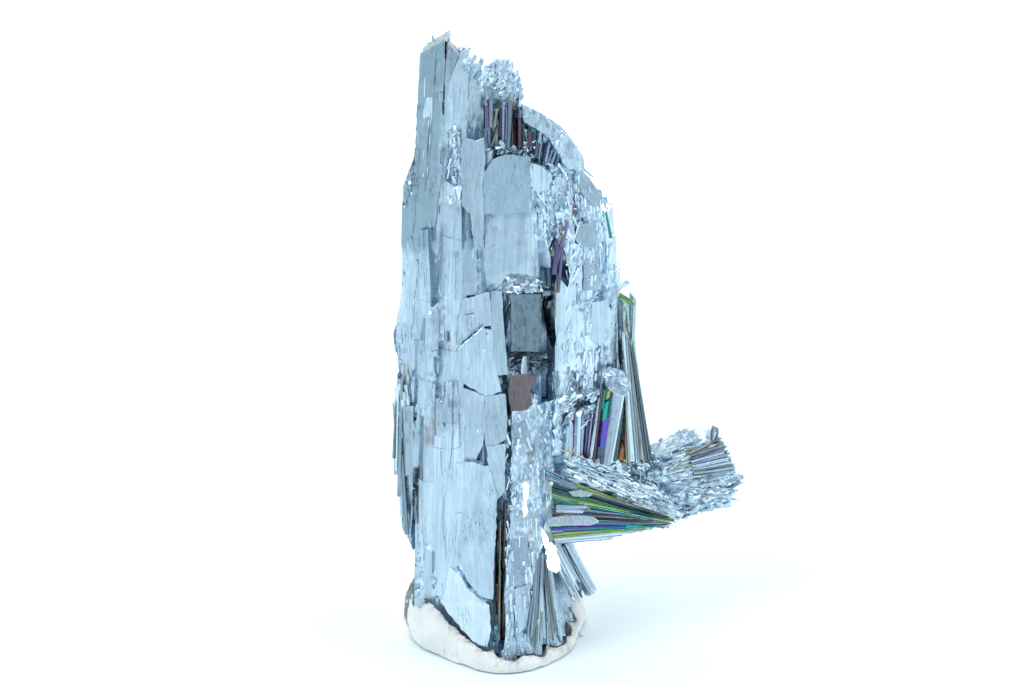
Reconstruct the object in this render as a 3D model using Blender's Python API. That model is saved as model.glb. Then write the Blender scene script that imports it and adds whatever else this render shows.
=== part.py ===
"""Stibnite crystal cluster standing in a lump of mounting putty.

All sizes are in millimetres until the last step, +Z is up, and the origin is
on the flat underside of the putty. X runs to the right, Y to the back.
"""

import math
import random
from collections import namedtuple

import bmesh
import bpy
from mathutils import Matrix, Vector, noise
from mathutils.bvhtree import BVHTree

# ---------------------------------------------------------------- dimensions
MM = 0.001
WELD = 0.0000005               # metres, corners closer than this are one corner
TOTAL_HEIGHT = 98.4          # floor to the highest crystal tip
PUTTY_GAP = 0.3              # clearance between the crystals and the putty
LOZENGE = 6                  # sides of a slender prism's section
SLAB = 4                     # sides of a broad cleaved blade's section
SLICE_DROP = 0.08            # a sloping end starts this far below the tip
PUTTY_MIDDLE = (-0.9, -4.8)  # middle of the putty's footprint
PUTTY_RISE = 10.6            # the lump's greatest height
PUTTY_SQUARENESS = 3.4       # 2 is a round dome, more is flatter on top
PUTTY_BLUNTING = 0.14        # radians, over which the footprint's corners blend
PUTTY_BELLY = 0.45           # height of its widest level above the floor
RIPPLE_PITCH = 1.9           # how close together the putty's dents lie
RIPPLE_REACH = 0.04          # share by which they change its reach
RIPPLE_RISE = 0.08           # share by which they change its height
FOOT_HEIGHT = 1.1            # the lowest crystal ends, flat, this far up
FOOT_STEP = 0.02             # each foot is this much above the last, up to nine
SEED = 41

# A crystal: axis from foot to tip, full width and depth of its section, the
# turn of that section about the axis, the slope of its end across the width
# and across the depth, and the width at the tip as a share of the foot's.
Crystal = namedtuple(
    "Crystal", "foot tip width depth roll slant pitch taper sides",
    defaults=(0.0, 0.0, 0.0, 1.0, LOZENGE))

# Upright blades of the left side, which carry the highest tip.
TALL_BLADES = (
    Crystal((-13.2, 0.5, 30), (-9.8, 0.8, TOTAL_HEIGHT), 4.9, 7.7, -8, 34, 0, 0.80, SLAB),
    Crystal((-9.6, -0.5, 30), (-6.5, 0.4, 97.6), 4.3, 6.5, 6, -44, 0, 0.84, SLAB),
    Crystal((-7.4, 3.4, 30), (-4.4, 3.2, 94.0), 6.8, 5.5, 14, -34, 8, 0.76, SLAB),
    Crystal((-3.6, 3.8, 40), (-2.4, 3.4, 91.8), 4.0, 5.4, -10, 20, 0, 0.80),
    Crystal((-14.0, 1.4, 28), (-12.7, 1.4, 84.0), 3.9, 6.8, -14, 72, 0, 0.80, SLAB),
    Crystal((-9.4, 0.6, 8), (-15.4, 1.0, 67), 5.2, 7.2, -10, 73, 0, 0.95, SLAB),
    Crystal((-10.8, -3.6, 26), (-9.0, -0.6, 87), 4.9, 4.0, -16, -20, 10, 0.66, SLAB),
)

# The broad front face, turned towards the left, and its ledges.
FRONT_FACE = (
    Crystal((-6.6, -7.6, 2.0), (-7.0, 0.6, 77), 11.4, 8.8, -42, -14, 12, 0.82, SLAB),
    Crystal((-3.0, -12.6, 1.2), (-3.4, -1.6, 68), 6.8, 6.5, -36, -22, 0, 0.74, SLAB),
    Crystal((-8.8, -4.8, 6.0), (-11.2, -0.4, 68), 6.0, 6.4, -42, 14, 0, 0.80, SLAB),
    Crystal((-4.2, -4.4, 36), (-3.0, -1.4, 81), 6.8, 5.2, -12, 22, 0, 0.74, SLAB),
    Crystal((0.8, -2.8, 58), (1.2, -1.2, 76.6), 8.8, 5.5, 5, -10, 20, 0.94, SLAB),
    Crystal((-1.4, -7.0, 30), (-1.6, -4.2, 60), 3.0, 5.0, 8, 26, 0, 0.80),
    Crystal((4.6, -2.4, 57), (4.4, -0.6, 73), 4.5, 4.8, -14, -24, 0, 0.90, SLAB),
)

# The lens-shaped splinter that stands off the left foot.
SPLINTER = (
    Crystal((-14.4, -2.8, 27), (-15.0, -2.0, 45), 4.1, 2.8, -24, 60, 0, 0.50, SLAB),
    Crystal((-14.7, -2.4, 39), (-14.5, -3.2, 14.2), 3.8, 2.8, 24, -62, 0, 0.45, SLAB),
)

# Core and back, which join everything behind the front crystals.
CORE = (
    Crystal((0.5, -1.5, 2.0), (1.0, 3.6, 83), 15.0, 11.0, 4, -18, 0, 0.74),
    Crystal((-5.0, 4.5, 4.0), (-5.0, 4.4, 80), 11.7, 7.3, -12, 10, 0, 0.86, SLAB),
    Crystal((4.6, 4.5, 5.0), (8.4, 5.4, 80), 13.0, 9.0, 10, -22, 0, 0.82),
    Crystal((-1.5, 8.2, 8.0), (0.5, 7.6, 66), 7.2, 4.3, 24, 26, 0, 0.80, SLAB),
    Crystal((5.0, 8.6, 10), (6.2, 8.8, 58), 5.4, 4.3, -20, -30, 0, 0.82, SLAB),
    Crystal((-9.6, 6.6, 12), (-9.0, 5.8, 60), 5.0, 4.3, 14, 32, 0, 0.80, SLAB),
    Crystal((2.6, 6.6, 20), (3.6, 6.2, 77), 5.0, 6.0, 8, 30, 0, 0.76),
)

# The rounded right shoulder and the stepped slab under it.
RIGHT_SLAB = (
    Crystal((11.6, 2.6, 28), (11.2, 3.2, 78.5), 9.5, 8.6, 6, -40, 0, 0.84, SLAB),
    Crystal((14.8, 3.6, 30), (14.0, 4.2, 72.5), 7.4, 7.2, -12, -30, 0, 0.86, SLAB),
    Crystal((16.8, 4.8, 28), (16.0, 4.8, 65.5), 5.2, 7.0, 18, -14, 0, 0.82),
    Crystal((7.6, 2.4, 60), (6.4, 2.6, 84.6), 6.8, 6.0, 4, -18, 14, 0.84, SLAB),
    Crystal((10.0, 3.8, 58), (9.2, 4.0, 82.2), 7.2, 7.0, -10, -36, 0, 0.86),
    Crystal((9.8, -3.2, 31), (9.6, -1.0, 72), 4.1, 4.8, 16, 24, 0, 0.80, SLAB),
    Crystal((13.2, -2.2, 29), (12.8, -0.4, 66), 4.9, 5.2, -8, -26, 0, 0.80, SLAB),
    Crystal((16.4, -0.2, 30), (16.2, 1.2, 58), 4.1, 5.2, 12, 24, 0, 0.86, SLAB),
    Crystal((17.8, 4.4, 36), (17.5, 4.0, 59.8), 3.0, 5.0, -16, -12, 0, 0.90),
    Crystal((7.2, -1.4, 56), (6.6, -0.6, 77), 3.6, 4.0, -20, -30, 0, 0.80, SLAB),
    Crystal((12.4, 0.0, 60), (11.4, 0.8, 74.5), 4.4, 5.0, 20, 34, 0, 0.80),
)

# The knob above the niche, and the small prisms in the niche.
NICHE_PRISMS = (
    Crystal((0.9, 3.0, 80), (0.5, 3.6, 93.6), 3.6, 4.4, 30, -18, 20, 0.86),
    Crystal((-0.6, 3.2, 80), (-0.7, 3.2, 91.6), 2.8, 4.0, -24, 30, 0, 0.80),
    Crystal((2.2, 3.8, 80), (2.0, 3.8, 92.0), 3.2, 4.0, 42, -38, 0, 0.86),
    Crystal((-1.6, 0.0, 68), (-1.6, 0.6, 87.0), 2.4, 2.8, 8, 20, 0, 0.85),
    Crystal((0.6, -0.4, 68), (0.8, 0.4, 86.6), 2.2, 2.6, -18, -24, 0, 0.80),
    Crystal((3.2, 0.4, 70), (2.8, 1.0, 85.2), 2.0, 2.4, 12, 30, 0, 0.75),
    Crystal((4.6, -0.8, 74.0), (9.0, -2.6, 79.4), 3.2, 3.4, 12, -10, 0, 0.90),
)

# Needles that stand in the angle between the body and the side spray.
STANDING_NEEDLES = (
    Crystal((12.0, -4.6, 24), (12.0, -4.4, 37.2), 2.8, 3.2, 14, 22, 0, 0.82),
    Crystal((15.0, -3.2, 22), (16.0, -2.8, 40.2), 1.8, 2.6, -18, -30, 0, 0.70),
    Crystal((16.2, -2.4, 22), (17.4, -1.8, 41.4), 2.0, 2.6, 10, 20, 0, 0.80),
    Crystal((17.6, -1.6, 22), (18.8, -0.8, 44.4), 4.2, 4.4, 16, -16, 0, 0.98),
    Crystal((20.4, 4.4, 20), (19.6, 3.2, 54.6), 3.0, 3.6, -12, -34, 0, 0.55),
    Crystal((22.0, 4.8, 20), (20.7, 3.8, 49.6), 3.2, 3.4, 18, -40, 0, 0.50),
    Crystal((20.0, 2.4, 22), (20.9, 3.6, 55.4), 1.5, 1.9, 8, -50, 0, 0.80),
    Crystal((13.8, -3.8, 23), (13.6, -3.4, 36.4), 1.6, 2.2, 4, 26, 0, 0.80),
)

# The side spray: ridge, fine needles and lower blade, all running outwards.
SPRAY_ARM = (
    Crystal((6.0, 2.4, 27.5), (29.5, 3.8, 19.0), 4.9, 5.2, 8, 24, 0, 0.84, SLAB),
    Crystal((7.0, -4.4, 27.0), (24.0, -1.8, 22.8), 3.8, 4.2, -14, 30, 0, 0.84),
    Crystal((6.0, -6.2, 25.2), (27.4, -1.0, 17.6), 4.2, 3.6, 20, 20, 0, 0.50),
    Crystal((6.4, -7.4, 23.0), (26.2, -2.2, 17.9), 2.8, 3.0, 0, 24, 0, 0.50),
    Crystal((6.4, -8.6, 20.6), (25.0, -3.4, 18.4), 3.2, 2.8, 12, -30, 0, 0.45, SLAB),
    Crystal((7.0, -8.2, 18.6), (19.0, -5.0, 17.6), 3.0, 2.8, -10, -36, 0, 0.70),
    Crystal((15.0, 3.0, 25.0), (27.0, 5.0, 25.0), 5.4, 6.0, 14, 18, 0, 0.90),
    Crystal((18.0, 4.2, 27.0), (25.2, 5.0, 27.4), 4.0, 4.6, 30, 30, 0, 0.80),
)

# The block at the far end of the spray, a fan of blades rising outwards.
SPRAY_FAN = (
    Crystal((20.5, 4.6, 22.5), (35.8, 6.4, 28.6), 4.7, 5.7, 10, 24, 0, 0.96, SLAB),
    Crystal((21.5, 4.8, 20.0), (38.4, 6.2, 24.6), 4.5, 5.2, -8, 20, 0, 0.94, SLAB),
    Crystal((22.0, 4.2, 18.4), (37.6, 5.0, 20.8), 3.8, 4.3, 14, -16, 0, 0.86, SLAB),
    Crystal((24.0, 3.6, 17.6), (31.0, 4.6, 17.8), 3.4, 4.4, -12, -20, 0, 0.90),
    Crystal((23.5, 5.6, 25.2), (32.6, 6.8, 29.6), 4.0, 4.0, 22, 30, 0, 0.80, SLAB),
    Crystal((32.4, 5.6, 26.0), (34.0, 5.8, 31.8), 2.0, 2.4, 16, 20, 0, 0.60),
    Crystal((26.6, 4.4, 19.0), (27.0, 4.0, 27.6), 1.7, 2.0, 8, 26, 0, 0.80),
)

# The lower centre column and the needles that fan from it to the right.
LOWER_CENTRE = (
    Crystal((3.2, -13.2, 1.0), (3.4, -4.4, 43), 5.6, 6.9, 12, -18, 0, 0.80, SLAB),
    Crystal((6.6, -9.6, 1.4), (6.4, -2.0, 40), 5.8, 6.9, -14, 20, 0, 0.86, SLAB),
    Crystal((1.0, -16.6, 0.9), (2.2, -8.2, 28), 3.6, 4.6, 24, -34, 0, 0.70),
    Crystal((4.8, -14.2, 1.1), (6.0, -7.4, 22), 3.2, 3.6, -12, 30, 0, 0.72, SLAB),
    Crystal((8.4, -11.2, 1.2), (6.6, -6.4, 20), 3.4, 4.2, 16, -26, 0, 0.70),
    Crystal((9.4, -8.6, 1.6), (7.2, -5.0, 18.6), 3.2, 4.0, -8, 24, 0, 0.70),
    Crystal((7.6, -2.6, 17.6), (14.9, 1.0, 5.0), 5.4, 4.4, 10, -42, 0, 0.36),
    Crystal((6.8, -4.8, 17.6), (10.5, -4.6, 2.2), 4.6, 4.0, 22, 0, 0, 0.62),
    Crystal((7.0, 1.6, 4.0), (9.8, 2.6, 36), 6.6, 8.6, 12, 10, 0, 1.20),
)

# Hollows, each cut by a crystal-shaped tool.
CENTRAL_CAVITY = (
    Crystal((3.0, -14.0, 48.5), (4.4, -0.4, 49.6), 9.6, 18.0, 4, 0, 0, 0.62),
    Crystal((7.7, -12.0, 51.6), (7.8, 2.6, 53.0), 1.9, 9.6, -6, 0, 0, 0.80),
    Crystal((9.6, -9.0, 61.0), (9.4, 0.2, 63.6), 2.2, 10.0, -16, 0, 0, 0.60),
    Crystal((12.8, -8.0, 38.0), (12.6, -1.6, 39.6), 3.8, 5.4, 30, 0, 0, 0.60),
)
FOOT_CREVICE = (
    Crystal((-0.2, -18.0, 13.0), (0.1, -6.6, 13.6), 1.4, 26.0, -2, 0, 0, 0.60),
)

# The stepped outline of the right side, from the knob down: X and height.
RIGHT_OUTLINE = (
    (3.2, 87.0), (7.2, 84.4), (9.4, 82.4), (11.2, 79.8), (12.4, 76.8),
    (14.4, 73.4), (15.8, 69.8), (16.6, 65.2), (17.8, 60.8))
OUTLINE_STEPS = 26           # small crystals along that outline
STEP_WIDTH = (1.5, 3.2)
STEP_LENGTH = (9.0, 17.0)
STEP_DEPTH = 3.6             # Y about which they lie
STEP_SCATTER = 3.4           # how far from that Y
STEP_DROP = 2.2              # how far below the outline one may end
STEP_LEAN = 0.4              # how far left each foot lies of its tip
STEP_TURN = 30               # degrees
STEP_SLANTS = (-48, 10)

# Thin ledges left standing where the faces cleaved, and where they may start.
LEDGES = 90
LEDGE_WIDTH = (1.4, 4.4)
LEDGE_LENGTH = (6.0, 20.0)
LEDGE_PROUD = (0.35, 0.9)
LEDGE_TURN = 6               # degrees
LEDGE_SLANT = 55
LEDGE_LEVEL = 0.4            # a face more level than this carries no ledge
LEDGE_FACING = 0.6           # a face turned further aside than this carries none
LEDGE_SPAN_X = (-12.0, 15.0)
LEDGE_SPAN_Z = (4.0, 84.0)
FAR = 60.0                   # outside the cluster, where a probe starts

CLUSTER = (TALL_BLADES + FRONT_FACE + SPLINTER + CORE + RIGHT_SLAB
           + NICHE_PRISMS + STANDING_NEEDLES + SPRAY_ARM + SPRAY_FAN
           + LOWER_CENTRE)


# The putty's footprint, from its left round the front: X, Y and the height
# that the lump is pressed to there.
PUTTY_EDGE = (
    (-14.6, -5.0, 10.4), (-13.4, -9.4, 10.0), (-10.0, -12.7, 8.4), (-6.2, -16.6, 5.8),
    (-1.0, -20.4, 3.0), (2.4, -20.9, 2.4), (6.6, -17.4, 2.6), (10.6, -12.4, 3.0),
    (12.4, -5.0, 4.6), (14.3, 3.0, 6.4), (10.6, 9.4, 8.6), (0.0, 11.2, 9.0),
    (-9.6, 8.8, 10.0), (-13.8, 2.0, PUTTY_RISE))


# ------------------------------------------------------------------- helpers
def clear_scene():
    """Remove the objects that a new file opens with."""
    for obj in list(bpy.data.objects):
        bpy.data.objects.remove(obj, do_unlink=True)


def new_collection(name):
    """Make a collection in the scene."""
    collection = bpy.data.collections.new(name)
    bpy.context.scene.collection.children.link(collection)
    return collection


def new_material(name, colour, metallic, roughness):
    """Make a plain Principled material."""
    material = bpy.data.materials.new(name)
    material.use_nodes = True
    shader = material.node_tree.nodes["Principled BSDF"]
    shader.inputs["Base Color"].default_value = (*colour, 1.0)
    shader.inputs["Metallic"].default_value = metallic
    shader.inputs["Roughness"].default_value = roughness
    return material


def mesh_object(name, bm, collection):
    """Turn a bmesh into an object in a collection."""
    mesh = bpy.data.meshes.new(name)
    bmesh.ops.recalc_face_normals(bm, faces=bm.faces)
    bm.to_mesh(mesh)
    bm.free()
    obj = bpy.data.objects.new(name, mesh)
    collection.objects.link(obj)
    return obj


def slice_off(bm, point, normal):
    """Cut away all beyond a plane and close the cut with one face."""
    geometry = bm.verts[:] + bm.edges[:] + bm.faces[:]
    cut = bmesh.ops.bisect_plane(
        bm, geom=geometry, plane_co=point, plane_no=normal, clear_outer=True)
    rim = [item for item in cut["geom_cut"] if isinstance(item, bmesh.types.BMEdge)]
    bmesh.ops.contextual_create(bm, geom=rim)


def axis_matrix(foot, tip, roll):
    """Place local Z along foot to tip, with local X as level as it can be."""
    axis = (tip - foot).normalized()
    if abs(axis.y) > abs(axis.z) and abs(axis.y) > abs(axis.x):
        side = axis.cross(Vector((0, 0, 1)))
    else:
        side = Vector((0, 1, 0)).cross(axis)
    side.normalize()
    back = axis.cross(side)
    basis = Matrix((side, back, axis)).transposed().to_4x4()
    return Matrix.Translation(foot) @ basis @ Matrix.Rotation(math.radians(roll), 4, "Z")


def crystal_mesh(bm, crystal, floor):
    """Add one sliced prism to a bmesh, ended flat at a height above the floor."""
    foot = Vector(crystal.foot)
    tip = Vector(crystal.tip)
    length = (tip - foot).length
    half_width = crystal.width / 2
    half_depth = crystal.depth / 2
    prism = bmesh.new()
    reach = math.sqrt(2) if crystal.sides == SLAB else 1.0
    bmesh.ops.create_cone(
        prism, cap_ends=True, segments=crystal.sides, radius1=reach,
        radius2=reach * crystal.taper, depth=length)
    bmesh.ops.translate(prism, verts=prism.verts, vec=(0, 0, length / 2))
    if crystal.sides == SLAB:
        bmesh.ops.rotate(
            prism, verts=prism.verts, matrix=Matrix.Rotation(math.pi / 4, 3, "Z"))
    bmesh.ops.scale(prism, verts=prism.verts, vec=(half_width, half_depth, 1))
    if crystal.slant:
        angle = math.radians(crystal.slant)
        high_side = math.copysign(half_width * crystal.taper, crystal.slant)
        normal = (-math.sin(angle), 0, math.cos(angle))
        slice_off(prism, (high_side, 0, length - SLICE_DROP), normal)
    if crystal.pitch:
        angle = math.radians(crystal.pitch)
        high_side = math.copysign(half_depth * crystal.taper, crystal.pitch)
        normal = (0, -math.sin(angle), math.cos(angle))
        slice_off(prism, (0, high_side, length - SLICE_DROP), normal)
    place = axis_matrix(foot, tip, crystal.roll)
    bmesh.ops.transform(prism, matrix=place, verts=prism.verts)
    if min(vert.co.z for vert in prism.verts) < floor:
        slice_off(prism, (0, 0, floor), (0, 0, -1))
    bmesh.ops.scale(prism, verts=prism.verts, vec=(MM, MM, MM))
    scratch = bpy.data.meshes.new("scratch")
    bmesh.ops.recalc_face_normals(prism, faces=prism.faces)
    prism.to_mesh(scratch)
    prism.free()
    bm.from_mesh(scratch)
    bpy.data.meshes.remove(scratch)


def crystal_objects(crystals, name, collection, floor=FOOT_HEIGHT):
    """Make one object for each crystal."""
    made = []
    for number, crystal in enumerate(crystals):
        bm = bmesh.new()
        crystal_mesh(bm, crystal, floor + FOOT_STEP * (number % 9))
        made.append(mesh_object(f"{name}_{number:02d}", bm, collection))
    return made


def combine(obj, operands, operation):
    """Apply one Boolean of a list of objects to a mesh, then drop the list."""
    group = bpy.data.collections.new("operands")
    for operand in operands:
        group.objects.link(operand)
    modifier = obj.modifiers.new("combine", "BOOLEAN")
    modifier.operand_type = "COLLECTION"
    modifier.collection = group
    modifier.operation = operation
    modifier.solver = "EXACT"
    depsgraph = bpy.context.evaluated_depsgraph_get()
    result = bpy.data.meshes.new_from_object(obj.evaluated_get(depsgraph))
    obj.modifiers.remove(modifier)
    obj.data = result
    for operand in list(group.objects):
        bpy.data.objects.remove(operand, do_unlink=True)
    bpy.data.collections.remove(group)


def keep_outer_skin(obj):
    """Keep the shell of the largest extent: pockets sealed inside are filled."""
    bm = bmesh.new()
    bm.from_mesh(obj.data)
    bmesh.ops.remove_doubles(bm, verts=bm.verts, dist=WELD)
    bmesh.ops.dissolve_degenerate(bm, edges=bm.edges, dist=WELD)
    unseen = set(bm.faces)
    shells = []
    while unseen:
        stack = [unseen.pop()]
        shell = list(stack)
        while stack:
            face = stack.pop()
            for edge in face.edges:
                for other in edge.link_faces:
                    if other in unseen:
                        unseen.remove(other)
                        stack.append(other)
                        shell.append(other)
        shells.append(shell)
    shells.sort(key=len)
    for shell in shells[:-1]:
        bmesh.ops.delete(bm, geom=shell, context="FACES")
    bmesh.ops.triangulate(bm, faces=bm.faces)
    bmesh.ops.recalc_face_normals(bm, faces=bm.faces)
    bm.to_mesh(obj.data)
    bm.free()


def along(outline, share):
    """Read a point at a share of an outline's points."""
    place = share * (len(outline) - 1)
    start = min(int(place), len(outline) - 2)
    return Vector(outline[start]).lerp(Vector(outline[start + 1]), place - start)


def outline_steps(rng):
    """Small crystals that step down the right side."""
    steps = []
    for number in range(OUTLINE_STEPS):
        spot = along(RIGHT_OUTLINE, (number + rng.random()) / OUTLINE_STEPS)
        width = rng.uniform(*STEP_WIDTH)
        x = spot.x - width / 2
        y = STEP_DEPTH + rng.uniform(-STEP_SCATTER, STEP_SCATTER)
        drop = rng.uniform(0.0, STEP_DROP)
        foot = (x - STEP_LEAN, y, spot.y - rng.uniform(*STEP_LENGTH))
        steps.append(Crystal(
            foot, (x, y, spot.y - drop), width, width * rng.uniform(1.0, 1.5),
            rng.uniform(-STEP_TURN, STEP_TURN), rng.uniform(*STEP_SLANTS), 0, 0.86))
    return tuple(steps)


def surface_ledges(rng, skin):
    """Thin upright crystals, each lying on the face that it grew from."""
    ledges = []
    for number in range(LEDGES):
        ahead = 1.0 if number % 3 else -1.0
        x = rng.uniform(*LEDGE_SPAN_X)
        low = rng.uniform(*LEDGE_SPAN_Z)
        length = rng.uniform(*LEDGE_LENGTH)
        width = rng.uniform(*LEDGE_WIDTH)
        proud = rng.uniform(*LEDGE_PROUD)
        turn = rng.uniform(-LEDGE_TURN, LEDGE_TURN)
        slant = rng.uniform(-LEDGE_SLANT, LEDGE_SLANT)
        ends = []
        for z in (low, low + length):
            hit, normal, _, _ = skin.ray_cast(
                Vector((x, -FAR * ahead, z)) * MM, Vector((0, ahead, 0)))
            if hit:
                ends.append((hit / MM, normal))
        if len(ends) < 2 or abs(ends[0][0].y - ends[1][0].y) > LEDGE_LENGTH[0] / 4:
            continue
        normal = ends[0][1]
        if abs(normal.z) > LEDGE_LEVEL or abs(normal.y) < LEDGE_FACING:
            continue
        facing = math.degrees(math.atan(-normal.x / normal.y))
        sink = Vector((0, ahead, 0)) * (width / 2 - proud)
        ledges.append(Crystal(
            tuple(ends[0][0] + sink), tuple(ends[1][0] + sink), width * 1.3, width,
            facing + turn, slant, 0, 0.85))
    return tuple(ledges)


# --------------------------------------------------------------- the object
def build_cluster(parts, tools):
    """Fuse the crystals into one solid and cut its hollows."""
    rng = random.Random(SEED)
    crystals = crystal_objects(CLUSTER + outline_steps(rng), "crystal", parts)
    body = crystals[0]
    combine(body, crystals[1:], "UNION")
    skin = BVHTree.FromObject(body, bpy.context.evaluated_depsgraph_get())
    ledges = surface_ledges(rng, skin)
    combine(body, crystal_objects(ledges, "ledge", parts), "UNION")
    hollows = crystal_objects(CENTRAL_CAVITY + FOOT_CREVICE, "hollow", tools)
    combine(body, hollows, "DIFFERENCE")
    keep_outer_skin(body)
    body.name = "stibnite_cluster"
    body.data.name = "stibnite_cluster"
    return body, CLUSTER + ledges


def edge_reading(angle):
    """Read the putty's reach and height in a direction from its middle."""
    spots = []
    for x, y, height in PUTTY_EDGE:
        gap = Vector((x - PUTTY_MIDDLE[0], y - PUTTY_MIDDLE[1]))
        spots.append((math.atan2(gap.y, gap.x) % math.tau, gap.length, height))
    spots.sort()
    spots.append((spots[0][0] + math.tau, *spots[0][1:]))
    turn = (angle - spots[0][0]) % math.tau + spots[0][0]
    for start, end in zip(spots, spots[1:]):
        if turn <= end[0]:
            share = (turn - start[0]) / (end[0] - start[0])
            return Vector(start[1:]).lerp(Vector(end[1:]), share)
    return Vector(spots[-1][1:])


def putty_mesh(bm):
    """Add the pressed lump of putty, cut flat at the floor."""
    bmesh.ops.create_icosphere(bm, subdivisions=4, radius=1.0)
    for vert in bm.verts:
        ripple = noise.noise(vert.co * RIPPLE_PITCH + Vector((SEED, 0, 0)))
        angle = math.atan2(vert.co.y, vert.co.x)
        near = [edge_reading(angle + turn) for turn in (-PUTTY_BLUNTING, 0, PUTTY_BLUNTING)]
        reach, rise = sum(near, Vector((0, 0))) / len(near)
        spread = min(math.hypot(vert.co.x, vert.co.y), 1.0)
        reach *= 1.0 + RIPPLE_REACH * ripple
        height = (1.0 - spread ** PUTTY_SQUARENESS) ** (1.0 / PUTTY_SQUARENESS)
        height = math.copysign(height, vert.co.z) * rise * (1.0 + RIPPLE_RISE * ripple)
        vert.co = Vector((
            PUTTY_MIDDLE[0] + math.cos(angle) * spread * reach,
            PUTTY_MIDDLE[1] + math.sin(angle) * spread * reach, height + PUTTY_BELLY))
    slice_off(bm, (0, 0, 0), (0, 0, -1))
    bmesh.ops.scale(bm, verts=bm.verts, vec=(MM, MM, MM))


def seat_tools(crystals, tools):
    """Crystals that reach into the putty, grown by the clearance all round."""
    grown = []
    for crystal in crystals:
        if min(crystal.foot[2], crystal.tip[2]) > PUTTY_RISE + 2.0:
            continue
        spare = 3 * PUTTY_GAP
        foot = Vector(crystal.foot)
        axis = (Vector(crystal.tip) - foot).normalized()
        foot -= axis * PUTTY_GAP
        tip = Vector(crystal.tip) + axis * PUTTY_GAP
        grown.append(crystal._replace(
            foot=tuple(foot), tip=tuple(tip), width=crystal.width + spare,
            depth=crystal.depth + spare, slant=0, pitch=0))
    return crystal_objects(grown, "seat", tools, FOOT_HEIGHT - PUTTY_GAP)


def build_putty(parts, tools, crystals):
    """Model the putty and press the crystals' seat into it."""
    bm = bmesh.new()
    putty_mesh(bm)
    putty = mesh_object("putty_base", bm, parts)
    combine(putty, seat_tools(crystals, tools), "DIFFERENCE")
    keep_outer_skin(putty)
    return putty


def main():
    """Build both nodes."""
    clear_scene()
    parts = new_collection("stibnite_specimen")
    tools = new_collection("cutters")
    cluster, crystals = build_cluster(parts, tools)
    cluster.data.materials.append(
        new_material("stibnite", (0.46, 0.58, 0.66), 1.0, 0.28))
    putty = build_putty(parts, tools, crystals)
    putty.data.materials.append(
        new_material("putty", (0.86, 0.87, 0.84), 0.0, 0.75))


main()
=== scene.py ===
"""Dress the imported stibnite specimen.

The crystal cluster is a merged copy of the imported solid, meshed finely, cleaved
into steps and set with plates, chips, needles and prisms. The putty is a merged
copy of its solid, smoothed and kneaded. Lengths named here are in millimetres
and become metres where a mesh is made.
"""
from __future__ import annotations

import logging
import math
import random
from dataclasses import dataclass, field
from enum import Enum
from typing import Any, Iterable, Sequence

import bmesh
import bpy
import numpy as np
from mathutils import Matrix, Vector
from mathutils.bvhtree import BVHTree

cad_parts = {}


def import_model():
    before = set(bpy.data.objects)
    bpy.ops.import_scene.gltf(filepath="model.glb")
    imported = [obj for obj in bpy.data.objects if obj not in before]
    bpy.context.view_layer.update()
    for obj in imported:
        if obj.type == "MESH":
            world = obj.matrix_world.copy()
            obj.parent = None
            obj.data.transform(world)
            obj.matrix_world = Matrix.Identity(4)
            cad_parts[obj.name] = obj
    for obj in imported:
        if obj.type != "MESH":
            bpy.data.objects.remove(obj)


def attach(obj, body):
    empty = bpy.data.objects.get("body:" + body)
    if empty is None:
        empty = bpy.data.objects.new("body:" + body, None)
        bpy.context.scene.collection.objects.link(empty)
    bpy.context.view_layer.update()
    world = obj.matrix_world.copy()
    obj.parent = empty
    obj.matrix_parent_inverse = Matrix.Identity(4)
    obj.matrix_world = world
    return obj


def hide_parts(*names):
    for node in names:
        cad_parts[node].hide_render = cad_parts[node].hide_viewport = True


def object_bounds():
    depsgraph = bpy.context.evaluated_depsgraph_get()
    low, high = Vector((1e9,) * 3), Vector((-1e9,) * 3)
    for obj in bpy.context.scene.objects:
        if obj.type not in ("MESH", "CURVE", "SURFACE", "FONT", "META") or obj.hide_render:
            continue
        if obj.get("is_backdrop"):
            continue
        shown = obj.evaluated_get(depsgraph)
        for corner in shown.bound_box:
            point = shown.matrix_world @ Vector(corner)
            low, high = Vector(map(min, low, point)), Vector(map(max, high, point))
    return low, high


LOG = logging.getLogger("stibnite")
MM = 0.001
IMAGE_WIDTH = 1024
IMAGE_HEIGHT = 684
SCALE = 0.157               # millimetres per pixel at the middle of the cluster
ELEVATION = 20.0            # degrees that the view looks down
DISTANCE = 700.0            # millimetres from the view to the middle of the cluster
SENSOR = 36.0
ZERO_X = 500.0              # pixel column of X = 0
ZERO_Y = 630.0              # pixel row of the origin
FAR = 5.0                   # metres

Colour = tuple[float, float, float]
Pixel = tuple[float, float]
Point = tuple[float, float, float]
Spot = tuple[float, float, float]       # a pixel's column and row, and a depth


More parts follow.
